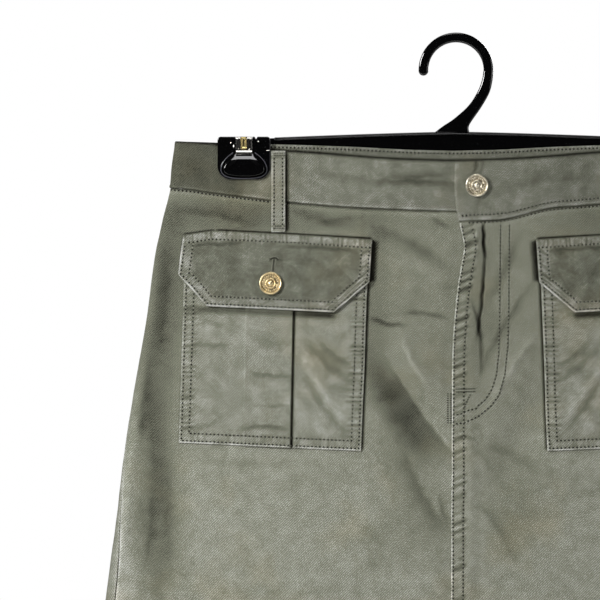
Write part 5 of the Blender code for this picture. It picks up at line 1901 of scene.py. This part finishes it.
class SKIRT_OT_clips(Maker, Operator):
    """Make the clips: jaw, rimmed pad with its sloped throat, spring, rib with a painted gold reflection,
    and rivets
    """

    bl_idname = "skirt.clips"
    bl_label = "Clips"

    # The spring strip's middle line from its lip up its front leg, as (depth, drop). The
    # depths count from the front leg's own.
    FRONT_LEG = ((-0.0016, 0.0812), (-0.0004, 0.0789), (-0.0002, 0.0784), (-0.0001, 0.07))
    # Rivets on the strip and lugs on the plate, by their distance from the clip's middle
    # towards the hanger's
    RIVETS = from_mm(
        Boss, (-4.8, 69.9, 0.6, 0.6), (4.9, 69.9, 0.6, 0.6), (-4, 77.2, 0.5, 0.5),
        (4, 77.2, 0.6, 0.6),
    )
    LUGS = from_mm(
        Boss, (-9.4, 72.6, 0.7, 0.7), (-7.5, 75.2, 0.7, 1.5), (10.3, 71.8, 1, 0.6),
        (16.8, 78.2, 0.5, 0.5), (18.1, 78.2, 0.5, 0.5),
    )

    # The section of the ridge round the pad, as (outwards, height)
    RIDGE = ((-0.0006, -0.0001), (-0.0002, 0.0005), (0.0001, 0.0005), (0.0005, -0.0001))

    def make(self, cloths, trims):
        self.black = made_once("gloss_black", plastic, trims.plastic, 0.1)
        # The pad's rim is coloured grey as a painted highlight along its ridge
        self.rim_painted_highlight = made_once("rubbed_black", plastic, np.array(trims.plastic) * 75, 0.22)
        self.steel = made_once("plated_steel", metal, trims.steel, 0.16)
        # The rib's gold is a painted reflection on the plated strip
        self.gilt = made_once("gilt_rib", metal, trims.gilt, 0.22)
        clip_front = MID_Y - NIP - BAND_WALL / 2
        self.back = clip_front - SEAM_GAP
        self.plate = self.back - JAW_PLATE
        for hand, name in SIDES:
            self.clip(hand, hand * CLIP_X, name)

    def clip(self, hand, x, name):
        plate = plate_outline(hand, 0.0095)
        jaw = [
            moulded("clip_plate_" + name, plate, self.plate, self.back, 0.0005, self.black),
            self.pad("clip_pad_" + name, x),
            self.rim("clip_rim_" + name, x),
        ]
        for piece in jaw:
            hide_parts("clip_jaw_" + name)
        spring = [self.strip("clip_strip_" + name, x), self.rib("clip_rib_" + name, x)]
        spring_face = self.plate - SEAM_GAP - SPRING_WALL
        for i, (aside, drop, wide, tall) in enumerate(self.RIVETS + self.LUGS):
            face = spring_face if i < len(self.RIVETS) else self.plate
            place = (x - hand * aside, face, -drop)
            spring.append(self.facet(f"clip_rivet_{name}_{i}", place, wide, tall))
        for piece in spring:
            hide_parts("clip_spring_" + name)

    def pad(self, name, x):
        """The pad: a block with a dished face, sloped at the top where the throat is."""
        outline = both_halves(PAD_OUTLINE, x)
        centre = np.array([x, -0.0905])
        rings = []
        for share in (1.0, 0.99, 0.97, *np.linspace(0.94, 0.1, 22)):
            flat = centre + (outline - centre) * share
            slope = (-flat[:, 1] - THROAT_TOP) * THROAT_SLOPE
            dish = 0.0004 * smooth((0.95 - share) / 0.4)
            height = np.minimum(np.maximum(slope, 0.0), PAD_DEPTH - dish)
            height = -0.0002 if share == 1.0 else height - 0.0004 * (share > 0.98)
            rings.append(xyz(flat[:, 0], self.plate - height, flat[:, 1]))
        return shell(name, rings, self.black)

    def rim(self, name, x):
        """A ridge round the pad, with two flat slopes, coloured grey as a painted highlight."""
        outline = both_halves(RIM_OUTLINE, x)
        along = unit(np.gradient(outline, axis=0))
        aside = np.stack([along[:, 1], -along[:, 0]], -1)
        rings = []
        for shift, height in self.RIDGE:
            flat = outline + aside * shift
            rings.append(xyz(flat[:, 0], self.plate - height, flat[:, 1]))
        return shell(name, np.swapaxes(rings, 0, 1), self.rim_painted_highlight)

    def strip(self, name, x):
        """The plated strip, bent over the top of the clip and out in a lip at the front."""
        near = self.plate - SEAM_GAP - SPRING_WALL / 2
        far = PLATE_DEPTH - HANGER_DEPTH / 2 + SEAM_GAP + SPRING_WALL / 2
        crown, bend = SEAM_GAP + SPRING_WALL / 2 - CLIP_TOP - NOTCH_DEPTH, 0.0012
        line = [(near + depth, -drop) for depth, drop in self.FRONT_LEG]
        line += arc(near + bend, crown - bend, bend, 0.5, 0.25, 8)
        line += arc(far - bend, crown - bend, bend, 0.25, 0.0, 8)
        line = np.array(line + [(far, crown - 0.016)])
        along = unit(np.gradient(line, axis=0))
        out = np.stack([-along[:, 1], along[:, 0]], -1)
        half, wall, eased = SPRING_WIDTH / 2, SPRING_WALL / 2, 0.0002
        section = [(half, eased), (half, -eased), (half - eased, -wall), (eased - half, -wall)]
        section += [(-x, -depth) for x, depth in section]
        rings = []
        for aside, depth in section:
            flat = line + out * depth
            rings.append(xyz(x + aside, flat[:, 0], flat[:, 1]))
        return shell(name, np.swapaxes(rings, 0, 1), self.steel)

    def rib(self, name, x):
        """The rib pressed out of the strip's front leg: a frame round a sunk middle, coloured gold as a
        painted reflection.
        """
        across, down = np.meshgrid(np.linspace(-1, 1, 21), np.linspace(-1, 1, 33))
        rise = smooth((1 - np.abs(across)) / 0.25) * smooth((1 - np.abs(down)) / 0.1)
        sunk = smooth((0.62 - np.abs(across)) / 0.25) * smooth((0.78 - np.abs(down)) / 0.14)
        z = -0.073 - down * 0.0046
        y = self.plate - SEAM_GAP - SPRING_WALL - 0.001 * rise + 0.0006 * sunk + 0.0001
        return shell(name, xyz(x - 0.0002 + across * 0.0024, y, z), self.gilt, wrap=False)

    def facet(self, name, place, wide, tall):
        """A small oval boss whose face slopes like the spring's lip."""
        angles = np.arange(14) * tau / 14
        rings = []
        for share, proud in ((1.0, -0.0002), (0.96, 0.0001), (0.8, 0.0002), (0.05, 0.0002)):
            across, up = np.cos(angles) * wide * share, np.sin(angles) * tall * share
            height = proud + (proud > 0) * (tall - up) * THROAT_SLOPE
            rings.append(xyz(across, -height, up) + np.array(place))
        return shell(name, rings, self.steel)


# ---- Stage ----


class SKIRT_OT_stage(Operator):
    """Lay the floor, hang the lights and set up the camera"""

    bl_idname = "skirt.stage"
    bl_label = "Stage"

    def execute(self, context):
        stage = context.scene.skirt_stage
        self.floor(stage)
        self.air(context.scene, stage)
        self.camera(context.scene, stage)
        chest = Vector((stage.centre_x, -0.02, -0.28))
        clip = Vector((-CLIP_X, 0.0, -CLIP_TOP))
        self.light("key", (-1.05, -1.1, 0.35), chest, 0.45, stage.key)
        self.light("top", (-0.1, -0.85, 1.35), clip, 0.8, stage.top)
        self.light("low_fill", (-0.1, -0.75, -0.86), Vector((-0.1, 0.0, -0.42)), 0.6, stage.low)
        self.light("right_fill", (1.25, -1.3, 0.05), chest, 0.75, stage.right)
        self.light("back_light", (0.8, 1.4, 0.4), Vector((0.0, 0.0, -0.28)), 1.00, stage.back)
        context.scene.view_settings.view_transform = "Standard"
        return {"FINISHED"}

    def floor(self, stage):
        shader = Shader("pale_floor")
        patches = shader.noise(shader.place(), 6.0, 3.0)
        shade = shader.blend(patches, (0.78, 0.78, 0.77), (0.82, 0.82, 0.81))
        shader.put(Base_Color=shade, Roughness=0.7)
        reach, behind = 5.0, 1.6
        ends = ((-reach, -reach), (reach, -reach), (reach, behind), (-reach, behind))
        corners = [(x, y, stage.floor) for x, y in ends]
        mesh = bpy.data.meshes.new("floor")
        mesh.from_pydata(corners, [], [(0, 1, 2, 3)])
        mesh.materials.append(shader.material)
        linked("floor", mesh)

    def air(self, scene, stage):
        """White to the camera, and a dim even light to everything else."""
        world = bpy.data.worlds.new("studio_air")
        world.use_nodes = True
        scene.world = world
        tree = world.node_tree
        seen = tree.nodes.new("ShaderNodeLightPath").outputs["Is Camera Ray"]
        strength = tree.nodes.new("ShaderNodeMapRange")
        strength.inputs["To Min"].default_value = stage.air
        strength.inputs["To Max"].default_value = 1.0
        tree.links.new(seen, strength.inputs["Value"])
        background = tree.nodes["Background"]
        background.inputs["Color"].default_value = (1.0, 1.0, 1.0, 1.0)
        tree.links.new(strength.outputs["Result"], background.inputs["Strength"])

    def camera(self, scene, stage):
        data = bpy.data.cameras.new("camera")
        camera = linked("camera", data)
        front_y = -0.018
        camera.location = (stage.centre_x, front_y - stage.distance, stage.centre_z)
        camera.rotation_euler = (pi / 2, 0.0, 0.0)
        data.lens = data.sensor_width * stage.distance / stage.width
        scene.camera = camera

    def light(self, name, place, target, across, power):
        data = bpy.data.lights.new(name, "AREA")
        data.shape = "DISK"
        data.size = across
        data.energy = power
        light = linked(name, data)
        light.location = place
        light.rotation_euler = (Vector(place) - target).to_track_quat("Z", "Y").to_euler()
        light.visible_camera = False


OPERATORS = (
    SKIRT_OT_fronts, SKIRT_OT_back, SKIRT_OT_waistband, SKIRT_OT_belt_loops, SKIRT_OT_pockets,
    SKIRT_OT_flaps, SKIRT_OT_stitching, SKIRT_OT_buttons, SKIRT_OT_hanger, SKIRT_OT_clips,
    SKIRT_OT_stage,
)


class SKIRT_PT_pieces(Panel):
    """Lists the settings, then the pieces in the order that they are made"""

    bl_label = "Cargo utility skirt"
    bl_space_type = "VIEW_3D"
    bl_region_type = "UI"
    bl_category = "Skirt"

    def draw(self, context):
        for group in GROUPS:
            settings = getattr(context.scene, group)
            box = self.layout.box()
            for name in settings.__annotations__:
                box.prop(settings, name)
        for operator in OPERATORS:
            self.layout.operator(operator.bl_idname)


def register():
    for item in (*GROUPS.values(), *OPERATORS, SKIRT_PT_pieces):
        bpy.utils.register_class(item)
    for name, group in GROUPS.items():
        setattr(bpy.types.Scene, name, PointerProperty(type=group))


def unregister():
    for name in GROUPS:
        delattr(bpy.types.Scene, name)
    for item in (SKIRT_PT_pieces, *reversed(OPERATORS), *GROUPS.values()):
        bpy.utils.unregister_class(item)


def main():
    register()
    for operator in OPERATORS:
        group, name = operator.bl_idname.split(".")
        getattr(getattr(bpy.ops, group), name)()
    bpy.context.view_layer.update()


if __name__ == "__main__":
    main()
